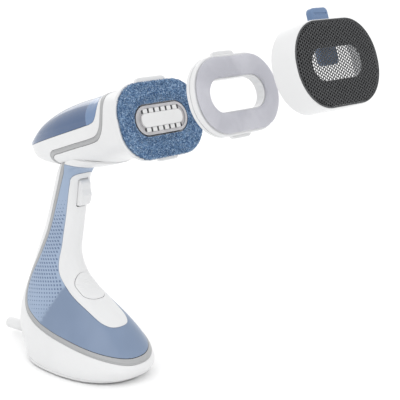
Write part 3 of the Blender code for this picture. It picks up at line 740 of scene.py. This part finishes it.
stripe, grip_edge, head_stripe, tank_edge, crease = (
    smooth_path(course) for course in (BODY_STRIPE, GRIP_EDGE, HEAD_STRIPE, TANK_EDGE, CREASE))
body_corners = [(200, 20), (200, 246)]
ahead = side_cutter("ahead_of_stripe", shifted(stripe, HALF_BAND + SEAM) + body_corners)
ahead_inner = side_cutter("ahead_of_trim", shifted(stripe, -HALF_BAND - SEAM) + body_corners)
grip_corners = [(200, 56), (200, 222.5)]
grip_hole = side_cutter("grip_hole", shifted(grip_edge, SEAM) + grip_corners)
grip_room = side_cutter("grip_room", grip_edge + grip_corners)
above_line, over_panel = (
    side_cutter(name, [(-60, level), (200, level), (200, 260), (-60, 260)])
    for name, level in (("above_collar_line", COLLAR_LEVEL), ("over_panel", COLLAR_LEVEL - SEAM)))
head_corners = [(80, -36), (80, 60)]
head_ahead = side_cutter("head_ahead", shifted(head_stripe, HALF_BAND + SEAM) + head_corners, HEAD_FRAME)
head_ahead_inner = side_cutter("head_ahead_inner", shifted(head_stripe, -HALF_BAND - SEAM) + head_corners,
                               HEAD_FRAME)
tank_space = side_cutter("tank_space", tank_edge + [(-230, 60)], HEAD_FRAME)
tank_clear = side_cutter("tank_clear", shifted(tank_edge, SEAM) + [(-230, 60)], HEAD_FRAME)


# ---- raised trim and dots, laid on the hulls ----
def on_hull(path, point_at):
    """A side-view path laid on one flank of a hull, ended on the outline where it leaves the hull."""
    fine = [between(a, b, step, 0, 6) for a, b in zip(path, path[1:]) for step in range(6)]
    fine.append(path[-1])
    inside = [point_at(*point) is not None for point in fine]
    first = inside.index(True)
    last = len(inside) - 1 - inside[::-1].index(True)
    for index, outer in ((first, first - 1), (last, last + 1)):
        if 0 <= outer < len(fine):
            keep, drop = fine[index], fine[outer]
            for _ in range(30):
                middle = between(keep, drop, 0.5, 0, 1)
                if point_at(*middle) is None:
                    drop = middle
                else:
                    keep = middle
            fine[outer] = keep
            inside[outer] = True
    return [point_at(*point) for keep, point in zip(inside, fine) if keep]


def evenly(line, count):
    """A polyline with count points, evenly spaced."""
    runs = [0.0]
    for a, b in zip(line, line[1:]):
        runs.append(runs[-1] + math.dist(a, b))
    result = []
    index = 0
    for step in range(count):
        goal = runs[-1] * step / (count - 1)
        while index < len(runs) - 2 and runs[index + 1] < goal:
            index += 1
        width = runs[index + 1] - runs[index]
        share = 0.0 if width == 0 else (goal - runs[index]) / width
        result.append(Vector(line[index]).lerp(Vector(line[index + 1]), share))
    return result


def trim_strip(name, path, point_at, place, count, loops, node, room):
    """The grey trim: a raised band along a path, swept round both flanks of a hull."""
    lines = {offset: evenly(on_hull(shifted(path, offset), point_at), count)
             for offset in sorted({row[0] for row in TRIM_SECTION})}
    normals = []
    for step in range(count):
        across = lines[HALF_BAND][step] - lines[-HALF_BAND][step]
        before = lines[0.5][max(step - 1, 0)]
        after = lines[0.5][min(step + 1, count - 1)]
        normals.append((after - before).cross(across).normalized())
    way = math.copysign(1.0, normals[count // 2].y)
    rings = [[lines[offset][step] + normals[step] * way * rise for offset, rise in TRIM_SECTION]
             for step in range(count)]
    mirrored = [[Vector((point.x, -point.y, point.z)) for point in ring] for ring in rings]
    swept = loft(rings + mirrored[-2:0:-1], closed=True) if loops else loft(rings + mirrored[-2::-1])
    trim = carve(new_object(name, swept, place), CUT, room)
    show(trim, "housing", "grey_trim", node, sharp=50.0)


def dot_field(name):
    """Small rhombic dots in a staggered lattice along the handle, on both flanks of it; their darker blue
    is painted shade.
    """
    bm = bmesh.new()
    along = Vector((-math.sin(DOT_LEAN), 0.0, -math.cos(DOT_LEAN)))
    across = Vector((math.cos(DOT_LEAN), 0.0, -math.sin(DOT_LEAN)))
    for row in range(-50, 50):
        for column in range(-14, 15):
            shift = column + 0.5 * (row % 2)
            middle = DOT_ORIGIN + along * DOT_ROW * row + across * DOT_COLUMN * shift
            place = (middle.x, middle.z)
            fade = clamp((198 - middle.z) / 34) * clamp((middle.z - 34) / 62)
            if fade < 0.25 or body_point(*place) is None:
                continue
            if side_of(stripe, place) < HALF_BAND + 1.9 or side_of(grip_edge, place) > -2.2:
                continue
            if side_of(crease, place) > -1.8 and middle.z < CREASE_TOP:
                continue
            add_dot(bm, middle, along, across, fade)
    return new_object(name, bm)


def add_dot(bm, middle, along, across, fade):
    """A low rhombic stud with a flat top, on both flanks."""
    for flank in (1, -1):
        rings = []
        for size, rise in ((1.0, -0.25), (0.98, 0.04), (0.72, DOT_RISE)):
            ring = []
            for step in range(8):
                angle = math.tau * step / 8
                c, s = math.cos(angle), math.sin(angle)
                reach = 1 / (abs(c) + abs(s))
                arm = along * c * DOT_REACH[1] + across * s * DOT_REACH[0]
                spot = middle + arm * reach * size * fade
                found = body_point(spot.x, spot.z)
                if found is None:
                    return
                ring.append(bm.verts.new((found[0], (found[1] + rise) * flank, found[2])))
            rings.append(ring)
        weave(bm, rings, flip=flank < 0)
        bm.faces.new(rings[-1][::flank])
        bm.faces.new(rings[0][::-flank])


# ---- body casings ----
def crease_gap(co, above=-9.0):
    """Signed distance of a vertex from the crease: positive below it, in mm."""
    x, z = co.x / MM, co.z / MM
    return side_of(crease, (x, z)) if z < CREASE_TOP else above


def creased(skin):
    """The body's skin with a soft step along the crease between handle and base."""
    mesh = skin.copy()
    moves = []
    for vertex in mesh.vertices:
        z = vertex.co.z / MM
        rise = 0.0
        if 40 < z < CREASE_TOP:
            gap = crease_gap(vertex.co)
            step = eased(clamp(0.5 + gap / 2.4))
            rise = step * 0.75 * math.exp(-max(gap, 0) / 16)
            rise = rise - (1 - step) * 0.3 * math.exp(min(gap, 0) / 4)
            rise *= min(1.0, (CREASE_TOP - z) / 8)
        moves.append(vertex.normal * rise * MM)
    for vertex, move in zip(mesh.vertices, moves):
        vertex.co += move
    return mesh


def body_casings():
    """The white back and base, the blue side panel, the collar, the white grip and the grey trim."""
    under_foot = side_cutter("under_foot", [(-150, -20), (150, -20), (150, 1.6), (-150, 1.6)])
    cord_hole = cutter("cord_hole", slab(stadium(14.6, 14.6), -14, 14), CORD_FRAME)
    casing("rear_casing", body_skin, (), (ahead, head_solid, under_foot, cord_hole), "white_plastic",
           "rear_shell")
    panel = casing("blue_side_panel", creased(body_skin), (ahead_inner,),
                   (grip_hole, head_solid, over_panel), "blue_panel", "side_panel")
    mark(panel, "base_zone", lambda co: clamp(0.5 + crease_gap(co) / 1.6))
    # The dots carry a darker blue that is painted shade for their recesses.
    show(dot_field("handle_dots"), "housing", "blue_panel", material=PAINTED_SHADE_DOTS)
    casing("collar_under_head", body_skin, (ahead_inner, above_line), (head_core,), "white_plastic",
           "neck_collar")
    trim_strip("stripe_on_body", stripe, body_point, WORLD, 260, False, "body_trim", head_solid)

    opening = rounded_outline(32.4, 14.2, 2.6, (-8.2, 0.0))
    window = cutter("trigger_window", slab([(up, across) for across, up in opening], -2, 30),
                    TRIGGER_FRAME)
    clear = rounded_outline(BUTTON_SIZE[0] + 1.0, BUTTON_SIZE[1] + 1.0, 13.5)
    well = cutter("button_well", slab(clear, -10, 10, 2), BUTTON_FRAME)
    casing("white_grip", body_skin, (grip_room,), (window, well), "white_plastic", "front_grip")


def trigger_piece():
    """The trigger: a curved finger pad with a small ridge at its lower end."""
    outline = smooth_path([(10.5, 7.2), (14.4, 4.5), (15.3, 0), (15.2, -4), (16.6, -8.6), (17, -10.6),
                           (16.2, -13), (15.6, -16), (13.5, -20.3), (11, -22.6)], 6)
    outline += [(-1, -23), (-1, -8), (-5, -4), (-5, 3.5), (4, 4.5), (8, 7.2)]
    trigger = new_object("steam_trigger", slab(outline, -6.6, 6.6, 1), TRIGGER_FRAME)
    face = rounded_outline(13.2, 31, 2.4, (0, -8.1))
    carve(trigger, KEEP, cutter("trigger_face", slab(face, -20, 40), TRIGGER_FRAME))
    bore = [(1.9 * math.cos(math.tau * k / 24), 1.9 * math.sin(math.tau * k / 24)) for k in range(24)]
    carve(trigger, CUT, side_cutter("trigger_bore", bore, TRIGGER_FRAME, 12))
    soften(trigger, 1.9, 5)
    show(trigger, "trigger", "white_plastic", "trigger")


def button_piece():
    """The push button, with five fine ribs across its upper half."""
    def ribs(level):
        if not RIBS_FROM <= level <= RIBS_TO:
            return 0.0
        return 0.3 * (0.5 - 0.5 * math.cos(math.tau * (level - RIBS_FROM) / RIB_PITCH))

    levels = steps_between(62, 84, 2.0) + steps_between(84.2, 108, 0.21) + steps_between(110, 135, 2.5)
    proud = cutter("button_outer", loft([body_ring(level, COARSE_SIDES, -0.7 - ribs(level))
                                         for level in levels]))
    under = cutter("button_inner", loft([body_ring(level, COARSE_SIDES, 2.6) for level in levels[::3]]))
    oval = rounded_outline(*BUTTON_SIZE, 13)
    button = new_object("oval_button", slab(oval, -10, 10, 2), BUTTON_FRAME)
    carve(button, KEEP, proud)
    carve(button, CUT, under)
    show(button, "power_button", "white_plastic", "power_button", sharp=40.0)


# ---- head casings and tank ----
def head_casings():
    """The cradle under the tank, the barrel, and the grey trim between them."""
    casing("tank_cradle_skin", head_skin, (), (head_ahead, tank_clear, neck_room), "white_plastic",
           "tank_cradle")
    trim_strip("stripe_on_head", head_stripe, head_point, HEAD_FRAME, 240, True, "head_trim", neck_room)
    casing("barrel_skin", head_skin, (head_ahead_inner,), (neck_room,), "white_plastic",
           "barrel_housing")


def tank_piece():
    """The hollow water tank, with a rim a little proud along its front."""
    rings = []
    for place in sorted(head_places + [TANK_RIM - 0.5, TANK_RIM - 0.3, TANK_RIM, TANK_RIM + 0.3]):
        rings.append(head_ring(place, inset=0.45 if -197 < place < TANK_RIM - 0.2 else 0.0))
    tank = new_object("tank_shell", loft(rings), HEAD_FRAME)
    inner = shifted(tank_edge, -WALL)[PATH_STEPS // 2:] + [(-200, 60), (-200, SPLIT + WALL)]
    cavity = side_cutter("tank_cavity", inner, HEAD_FRAME)
    carve(cavity, KEEP, tank_room)
    carve(tank, KEEP, tank_space)
    carve(tank, CUT, cavity, *(hole(name, stadium(size, size, 0.0, centre), -64, -44) for name, centre, size
                               in (("valve_hole", VALVE, 9.4), ("filler_hole", FILLER, 13.8))))
    show(tank, "tank", "tank_blue", "water_tank")
    mark(tank, "front_band", lambda co: 1.0 if (TO_HEAD @ co).x > TANK_RIM - 0.1 else 0.0)

    built("tank_valve_body", (8.6, 8.6, 4.3, VALVE), rounded_steps(-62, -45, 0.6), "tank",
          "white_plastic", "tank_valve")
    built("tank_filler_plug", (13, 13, 6.5, FILLER), rounded_steps(-60, -50.5, 0.9), "tank",
          "rubber_grey", "filler_plug")


# ---- steam face ----
def inner_plate(rim):
    """The steam plate's size, less a rim on every side."""
    return PLATE[0] - 2 * rim, PLATE[1] - 2 * rim, PLATE[1] / 2 - rim


def steam_face():
    """Bezel, cast ring, grey recess with its slots and a dark plate of painted shade behind them, and the
    raised white centre.
    """
    built("face_bezel", (103, 73, 31), rounded_steps(-10.4, -8.0, 0.6), "housing", "white_plastic",
          "front_bezel", holes=[hole("bezel_window", stadium(68, 27), -14, -6)])
    built("steam_plate_ring", inner_plate(0), rounded_steps(-7.6, 0.4, 0.7, False), "housing",
          "cast_metal", "steam_plate", holes=[hole("ring_bore", stadium(*PLATE, -6.4), -9, 3)],
          edge=(0.35, 2, 60.0))
    slots = []
    rungs = bmesh.new()
    for row in (-1, 1):
        up = row * SLOT_HEIGHT
        for index in range(SLOTS):
            across = (index - (SLOTS - 1) / 2) * SLOT_PITCH
            outline = rounded_outline(2.4, 4.4, 0.3, (across, up), 3)
            slots.append(hole(f"slot_{row}_{index}", outline, -4, 2))
            if index < SLOTS - 1:
                add_rung(rungs, across + SLOT_PITCH / 2, up)
    built("steam_plate_recess", inner_plate(3), ((-2.0, 0.0), (-0.6, 0.0)), "housing", "cast_metal",
          holes=slots, material=RECESS)
    # A near-black plate behind the slots: painted shade, standing for the darkness deep inside the steam
    # holes.
    built("slot_backing", inner_plate(4), ((-4.4, 0.0), (-0.75, 0.0)), "housing", "dark_plastic")
    show(new_object("slot_rungs", rungs, HEAD_FRAME), "housing", "white_plastic", material=CERAMIC)
    built("steam_plate_centre", (56, 14, 6), rounded_steps(-1.1, 1.25, 0.9, False, 6), "housing",
          "white_plastic", "plate_insert", material=CERAMIC)


def add_rung(bm, across, up):
    """A low white block between two steam slots."""
    rows = []
    for along, inset in ((-0.8, 0.0), (-0.25, 0.0), (-0.05, 0.2)):
        outline = rounded_outline(SLOT_PITCH - 2.4 - 2 * inset, 4.5 - 2 * inset, 0.5, (across, up), 3)
        rows.append([bm.verts.new((along, y, z)) for y, z in outline])
    weave(bm, rows)
    bm.faces.new(rows[-1])
    bm.faces.new(rows[0][::-1])


# ---- padded faces ----
def ray_ring(outline, count):
    """The outline read along evenly turned rays from its centre."""
    centre = (sum(p[0] for p in outline) / len(outline), sum(p[1] for p in outline) / len(outline))
    closed = [*outline, outline[0]]
    found = []
    for k in range(count):
        turn = math.tau * (k + 0.5) / count
        ray = (math.cos(turn), math.sin(turn))
        far = 0.0
        for a, b in zip(closed, closed[1:]):
            run = (b[0] - a[0], b[1] - a[1])
            cross = ray[0] * run[1] - ray[1] * run[0]
            if abs(cross) < 1e-12:
                continue
            rel = (a[0] - centre[0], a[1] - centre[1])
            reach = (rel[0] * run[1] - rel[1] * run[0]) / cross
            share = (rel[0] * ray[1] - rel[1] * ray[0]) / cross
            if -1e-9 <= share <= 1 + 1e-9 and reach > far:
                far = reach
        found.append((centre[0] + ray[0] * far, centre[1] + ray[1] * far))
    return found


def pad_rings(outer, inner, back, front, edge, crown, count, across_steps):
    """Rings of a pad with a window, for a closed loft: rolled edges and a crowned face."""
    far, near = ray_ring(outer, count), ray_ring(inner, count)
    turns = [math.pi / 2 * k / 6 for k in range(7)]
    thick = front - back
    profile = [(0.02, back)]
    profile += [(edge * (1 - math.sin(turn)), front - thick * math.cos(turn)) for turn in turns]
    profile += [(edge + (1 - 2 * edge) * k / across_steps,
                 front + crown * math.sin(math.pi * k / across_steps)) for k in range(1, across_steps)]
    profile += [(1 - edge * (1 - math.cos(turn)), front - thick * math.sin(turn)) for turn in turns]
    profile.append((0.98, back))
    return [[(along, a[0] + (b[0] - a[0]) * share, a[1] + (b[1] - a[1]) * share)
             for a, b in zip(far, near)] for share, along in profile]


def terry_pad():
    """Looped microfibre pad: a crowned cushion with a dense pile of short tufts."""
    outer, inner = rounded_outline(111.0, 76.2, 32, corner=24), stadium(WINDOW[0], WINDOW[1], 1.2)
    rings = pad_rings(outer, inner, -3.2, -0.2, 0.09, 0.45, 640, 40)
    pad = new_object("terry_pad", loft(rings, closed=True), HEAD_FRAME)
    mesh = pad.data
    mesh.shade_smooth()
    moves = [vertex.normal * 0.3 * MM * (noise.noise(vertex.co * 800) + 0.4 * noise.noise(vertex.co * 1500))
             for vertex in mesh.vertices]
    for vertex, move in zip(mesh.vertices, moves):
        vertex.co += move
    show(pad, "terry_head", "microfibre", "microfibre_pad", sharp=0)

    draw = random.Random(11)
    rays = 720
    far, near = ray_ring(outer, rays), ray_ring(inner, rays)
    bm = bmesh.new()
    for _ in range(PILE_LOOPS):
        k = draw.randrange(rays)
        share = draw.random() ** 0.9
        if draw.random() < 0.2:
            share = 0.0
        a, b = far[k], near[k]
        root = Vector((-0.1, a[0] + (b[0] - a[0]) * share, a[1] + (b[1] - a[1]) * share))
        out = Vector((0.0, a[0] - b[0], a[1] - b[1])).normalized()
        lift = Vector((1.0, 0.0, 0.0))
        if share == 0.0:
            turn = draw.uniform(0.0, 1.35)
            root = root + Vector((-2.6 + 2.3 * math.sin(turn), 0, 0)) - out * (1.8 - 1.7 * math.cos(turn))
            lift = (lift * math.sin(turn) + out * math.cos(turn)).normalized()
        elif share < 0.06 or share > 0.95:
            root.x -= 0.9
        lean = Vector((0.0, draw.uniform(-1, 1), draw.uniform(-1, 1)))
        add_tuft(bm, root, (lift + lean * 0.75).normalized(), lean, draw)
    show(new_object("terry_pile", bm, HEAD_FRAME), "terry_head", "microfibre", material=PILE, sharp=0)


def add_tuft(bm, root, way, lean, draw):
    """One tuft: a short, bent, tapering spindle."""
    length = draw.uniform(0.8, 1.5)
    radius = draw.uniform(0.2, 0.32)
    side = way.orthogonal().normalized()
    up = way.cross(side)
    rows = []
    for share, size in ((0.0, 0.6), (0.4, 1.0), (0.8, 0.75)):
        middle = root + way * length * share + lean * 0.35 * share * share
        rows.append([bm.verts.new(middle + (side * math.cos(t) + up * math.sin(t)) * radius * size)
                     for t in (0.0, math.pi / 2, math.pi, 1.5 * math.pi)])
    tip = bm.verts.new(root + way * length + lean * 0.4)
    foot = bm.verts.new(root - way * 0.15)
    weave(bm, rows)
    for i in range(4):
        j = (i + 1) % 4
        bm.faces.new((rows[-1][i], rows[-1][j], tip))
        bm.faces.new((rows[0][j], rows[0][i], foot))


def settled_velvet(pad, fixed):
    """Let the velvet cover settle as cloth, slightly too large for its foam, and keep the folds."""
    rest = [vertex.co.copy() for vertex in pad.data.vertices]
    held = pad.vertex_groups.new(name="held")
    held.add(fixed, 1.0, "REPLACE")
    centre = sum(rest, Vector()) / len(rest)
    for vertex in pad.data.vertices:
        vertex.co = (vertex.co - centre) * CLOTH_SCALE
    cloth = pad.modifiers.new("cloth", "CLOTH")
    for key, value in (("quality", 6), ("mass", 0.4), ("tension_stiffness", 12),
                       ("compression_stiffness", 12), ("shear_stiffness", 6), ("bending_stiffness", 1.2),
                       ("shrink_min", -0.045), ("vertex_group_mass", "held"), ("use_pressure", True),
                       ("uniform_pressure_force", 1.2)):
        setattr(cloth.settings, key, value)
    cloth.settings.effector_weights.gravity = 0.0
    cloth.point_cache.frame_start = 1
    cloth.point_cache.frame_end = CLOTH_FRAMES
    for step in range(1, CLOTH_FRAMES + 1):
        SCENE.frame_set(step)
    evaluated = pad.evaluated_get(bpy.context.evaluated_depsgraph_get())
    moved = [vertex.co.copy() for vertex in evaluated.data.vertices]
    pad.modifiers.remove(cloth)
    SCENE.frame_set(1)
    for vertex, start, end in zip(pad.data.vertices, rest, moved):
        move = end / CLOTH_SCALE + centre - start
        if move.length > VELVET_CAP * MM:
            move = move.normalized() * VELVET_CAP * MM
        vertex.co = start + move


def tab(name, root, tip, width, back, front):
    """A finger tab to join to a frame: a low mound with sloping sides."""
    way, lean = math.copysign(1.0, tip), abs(tip - root)

    def outline(inset):
        half = width / 2 - inset
        side = [(half, root), (half - 0.22 * lean, root + 0.6 * (tip - root)),
                (half - 0.42 * lean, tip - 1.2 * way), (half - 0.62 * lean, tip - (0.3 + inset) * way),
                (half - lean, tip - inset * way)]
        return side + [(-a, b) for a, b in side[::-1]]

    return hidden(stepped(name, outline, rounded_steps(back, front, 0.9)))


def terry_frame():
    """The white carrier under the terry pad."""
    back = -7.6
    built("terry_frame", (114, 79, 33.5), rounded_steps(back, -3.3, 1.3, True, 5), "terry_head",
          "white_plastic", "pad_frame", edge=FINE_EDGE,
          joins=[tab("pad_top_tab", 34, 43.6, 46, back, -3.6),
                 tab("pad_low_tab", -35, -42, 32, back, -3.6)],
          holes=[hole("terry_frame_window", stadium(*WINDOW), -12, 0)])


def velvet_ring():
    """The delicate-fabric head: a grooved white frame with a short-pile velvet face."""
    middle = (0.0, RING_RISE)
    back, front = RING_FRONT - 13.5, RING_FRONT - 3.6
    steps = [(back + along, inset) for along, inset in (
        (0.0, 0.9), (0.25, 0.35), (0.8, 0.0), (3.6, 0.0), (3.8, 0.15), (3.95, 0.9), (4.8, 0.9),
        (4.95, 0.15), (5.2, 0.0))]
    steps += [(front - 1.4, 0.0), (front - 0.5, 0.3), (front, 1.0)]
    built("velvet_frame", (113, 75.5, 36, middle), steps, "velvet_head", "white_plastic",
          "delicate_frame", edge=FINE_EDGE,
          joins=[tab("ring_top_tab", 34, 44, 36, back, back + 3.6),
                 tab("ring_low_tab", -32, -39, 31, back, back + 3.6)],
          holes=[hole("velvet_frame_window", stadium(*RING_WINDOW, 0, middle), back - 5, front + 5)])

    outer, inner = rounded_outline(109.8, 72.2, 35, middle, 24), stadium(*RING_WINDOW, 0.6, middle)
    rings = pad_rings(outer, inner, front + 0.1, RING_FRONT - 0.5, 0.12, 0.45, 300, 18)
    pad = new_object("velvet_pad", loft(rings, closed=True), HEAD_FRAME)
    settled_velvet(pad, [v.index for v in pad.data.vertices if (TO_HEAD @ v.co).x < front + 1.2])
    fine = pad.modifiers.new("fine", "SUBSURF")
    fine.levels = 1
    fine.render_levels = 1
    show(pad, "velvet_head", "velvet", "delicate_pad", sharp=0)


# ---- mesh cap ----
def edge_gap(size, point):
    """How far a point is inside the edge of a rounded rectangle: negative past it."""
    width, height, radius, centre = size
    qx = abs(point[0] - centre[0]) - (width / 2 - radius)
    qy = abs(point[1] - centre[1]) - (height / 2 - radius)
    return radius - math.hypot(max(qx, 0), max(qy, 0)) - min(max(qx, qy), 0)


def net_cell(bm, centre, size):
    """One open cell: a hexagonal rim round an oval hole, bent back near the net's edge."""
    rim, crest, lip = [], [], []
    for k in range(NET_CORNERS):
        turn = math.tau * k / NET_CORNERS
        hexagon = math.cos(math.pi / 6) / math.cos((turn % (math.pi / 3)) - math.pi / 6)
        for row, reach, along, stretch in ((rim, NET_CELL / math.sqrt(3) * hexagon, 0.0, 1.0),
                                           (crest, 0.44 * NET_CELL, 0.1, 1.12),
                                           (lip, NET_HOLE * NET_CELL, -0.28, 1.12)):
            y = centre[0] + reach * math.cos(turn)
            z = centre[1] + reach * math.sin(turn) * stretch
            fall = NET_FALL * max(0.0, 1 - edge_gap(size, (y, z)) / NET_BEND) ** 2
            row.append(bm.verts.new((CAP_FRONT - 0.2 + along - fall, y, z)))
    weave(bm, [rim, crest, lip])


def mesh_cap():
    """The cap: a white shell, a windowed plate with a black liner, and an open knitted net."""
    middle = (0.0, CAP_RISE)
    back, front = CAP_FRONT - 28, CAP_FRONT - 1.8
    steps = [(back, 1.2), (back + 0.3, 0.45), (back + 1.0, 0.0), (front - 1.6, 0.0),
             (front - 0.6, 0.25), (front - 0.1, 0.8), (front, 1.3)]
    room = hole("cap_room", rounded_outline(110.6, 72.6, 34.8, middle, 20), CAP_FRONT - 40, CAP_FRONT + 5)
    slot = hole("cartridge_slot", rounded_outline(23.8, 30, 1.5, (0, 45), 4), CAP_FRONT - 16.4,
                CAP_FRONT - 8.8)
    built("cap_casing", (115, 77, 37, middle), steps, "mesh_cap", "white_plastic", "cap_shell",
          holes=(room, slot), edge=FINE_EDGE)
    window = hole("cap_window", stadium(69.8, 28.4, 0, middle), CAP_FRONT - 9, CAP_FRONT)
    built("cap_plate", (109.8, 71.8, 34.4, middle), rounded_steps(CAP_FRONT - 5.4, CAP_FRONT - 3.6, 0.4),
          "mesh_cap", "white_plastic", "cap_inner_plate", holes=[window])
    built("cap_liner", (110.0, 72.0, 34.5, middle), rounded_steps(CAP_FRONT - 3.4, CAP_FRONT - 2.2, 0.4),
          "mesh_cap", "mesh_black", holes=[window], material=FELT)

    width, height, radius = 112.0, 74.1, 35.6
    size = (width, height, radius, middle)
    bm = bmesh.new()
    rows, columns = int(60 / NET_ROW), int(42 / NET_CELL)
    for row in range(-rows, rows + 1):
        for column in range(-columns, columns + 1):
            centre = (row * NET_ROW, middle[1] + (column + 0.5 * (row % 2)) * NET_CELL)
            if edge_gap(size, centre) > 0.8:
                net_cell(bm, centre, size)
    bmesh.ops.remove_doubles(bm, verts=bm.verts, dist=0.02)
    bmesh.ops.recalc_face_normals(bm, faces=bm.faces)
    net = new_object("cap_net", bm, HEAD_FRAME)
    thick = net.modifiers.new("thread", "SOLIDIFY")
    thick.thickness = 0.45 * MM
    thick.offset = 0.0
    show(net, "mesh_cap", "mesh_black", "cap_mesh", sharp=0)
    hem = rounded_outline(width - 0.2, height - 0.2, radius - 0.1, middle, 24)
    show(tube("net_hem", [(CAP_FRONT - 1.45, *point) for point in hem], 0.75, closed=True), "mesh_cap",
         "mesh_black", sharp=0)


def tube(name, line, radius, closed=False, sides=10):
    """A round bar along a line in the head's frame."""
    points = [Vector(point) for point in line]
    count = len(points)
    rings = []
    for index, point in enumerate(points):
        before = points[index - 1] if closed or index else points[0]
        after = points[(index + 1) % count] if closed or index < count - 1 else points[-1]
        along = (after - before).normalized()
        side = along.cross(Vector((1, 0, 0))).normalized()
        up = side.cross(along)
        rings.append([point + (side * math.cos(t) + up * math.sin(t)) * radius
                      for t in (math.tau * k / sides for k in range(sides))])
    return new_object(name, loft(rings, closed=closed), HEAD_FRAME)


def cartridge_piece():
    """The scent cartridge: a flat blue blade whose rounded, grooved tab stands out of the cap."""
    low, high = CAP_FRONT - 16, CAP_FRONT - 9.2
    grooves = [hidden(tube(f"groove_{side}", [(along, across, 46.6) for across in (-8.5, -4, 0, 4, 8.5)],
                           1.15, sides=16))
               for side, along in (("front", high + 0.55), ("rear", low - 0.55))]
    built("cartridge_blade", (23, 50, 4.6, (0, 27)), rounded_steps(low, high, 1.3, True, 5), "cartridge",
          "cartridge_blue", "scent_cartridge", holes=grooves, edge=(0.25, 2, 60.0))


# ---- cord entry ----
def lathe(name, profile, node, sides=56):
    """A white turned piece on the cord's axis: a closed profile of (radius, along)."""
    turns = [math.tau * k / sides for k in range(sides)]
    rings = [[(along, radius * math.cos(turn), radius * math.sin(turn)) for radius, along in profile]
             for turn in turns]
    show(new_object(name, loft(rings, closed=True), CORD_FRAME), "housing", "white_plastic", node)


def cord_entry():
    """The gland in the rear shell and the ribbed strain relief behind it."""
    gland = [(6.9, 6), (6.9, -5.2), (8.3, -5.3), (8.6, -5.7), (8.6, -8.9), (8.2, -9.5), (3.9, -9.5),
             (3.9, 6)]
    lathe("gland_sleeve", gland, "cord_gland")
    boot = [(7.0, -9.9), (7.4, -10.4), (7.4, -14.4), (7.1, -14.9), (5.9, -15.4), (5.9, -17.5),
            (7.0, -18.0), (7.25, -18.5), (7.1, -23.6), (6.8, -24.1), (5.7, -24.6), (5.7, -26.4),
            (6.7, -26.9), (6.95, -27.5)]
    boot += [(6.95 - 0.5 * k / 6, -27.5 - 5 * k) for k in range(1, 7)]
    boot += [(6.1, -58), (3.7, -58), (3.7, -9.9)]
    lathe("cord_boot", boot, "strain_relief")


for build in (body_casings, trigger_piece, button_piece, head_casings, tank_piece, steam_face,
              terry_frame, terry_pad, velvet_ring, mesh_cap, cartridge_piece, cord_entry):
    build()
for tool in [o for o in bpy.data.objects if o.get("cutter")]:
    bpy.data.objects.remove(tool)


# ---- floor, light and camera ----
def floor_piece():
    bm = bmesh.new()
    bmesh.ops.create_grid(bm, x_segments=4, y_segments=4, size=40000)
    floor = new_object("studio_floor", bm)
    n = Nodes("pale_floor")
    n.colour(n.ramp(n.noise(0.5), (0.0, (0.97, 0.97, 0.97)), (1.0, (0.98, 0.98, 0.98))))
    n.fixed(Roughness=0.9, Specular_IOR_Level=0.1)
    floor.data.materials.append(n.material)


def lamp(name, kind, power, source, **settings):
    """A light that shines from a direction."""
    light = bpy.data.lights.new(name, kind)
    light.energy = power
    for key, value in settings.items():
        setattr(light, key, value)
    made = linked(name, light)
    made.rotation_euler = (-Vector(source)).to_track_quat("-Z", "Y").to_euler()
    return made


floor_piece()
world = bpy.data.worlds.new("studio")
world.use_nodes = True
world.node_tree.nodes["Background"].inputs["Color"].default_value = (1.0, 1.0, 1.0, 1.0)
world.node_tree.nodes["Background"].inputs["Strength"].default_value = 1.0
SCENE.world = world
lamp("key_sun", "SUN", 0.45, (0.35, -0.9, 1.6), angle=math.radians(50))
lamp("fill_sun", "SUN", 0.25, (1.2, -0.1, 0.8), angle=math.radians(60))
RIM_PLACE = Vector((-1.15, 0.85, 1.0))
rim = lamp("rim_box", "AREA", 2.2, RIM_PLACE - Vector((0.0, 0.0, 0.3)), shape="RECTANGLE", size=1.1,
           size_y=1.1)
rim.location = RIM_PLACE
rim.visible_camera = False
SCENE.view_settings.view_transform = "Standard"

CAMERA_PLACE = (0.8915, -0.7638, 0.4710)
CAMERA_TURN = math.radians(43.28)
CAMERA_RISE = math.radians(13.555)
camera_data = bpy.data.cameras.new("camera")
camera_data.lens = 99.0
camera_data.sensor_width = 36.0
camera = linked("camera", camera_data)
camera.location = CAMERA_PLACE
backwards = Vector((math.sin(CAMERA_TURN) * math.cos(CAMERA_RISE),
                    -math.cos(CAMERA_TURN) * math.cos(CAMERA_RISE), math.sin(CAMERA_RISE)))
camera.rotation_euler = backwards.to_track_quat("Z", "Y").to_euler()
SCENE.camera = camera
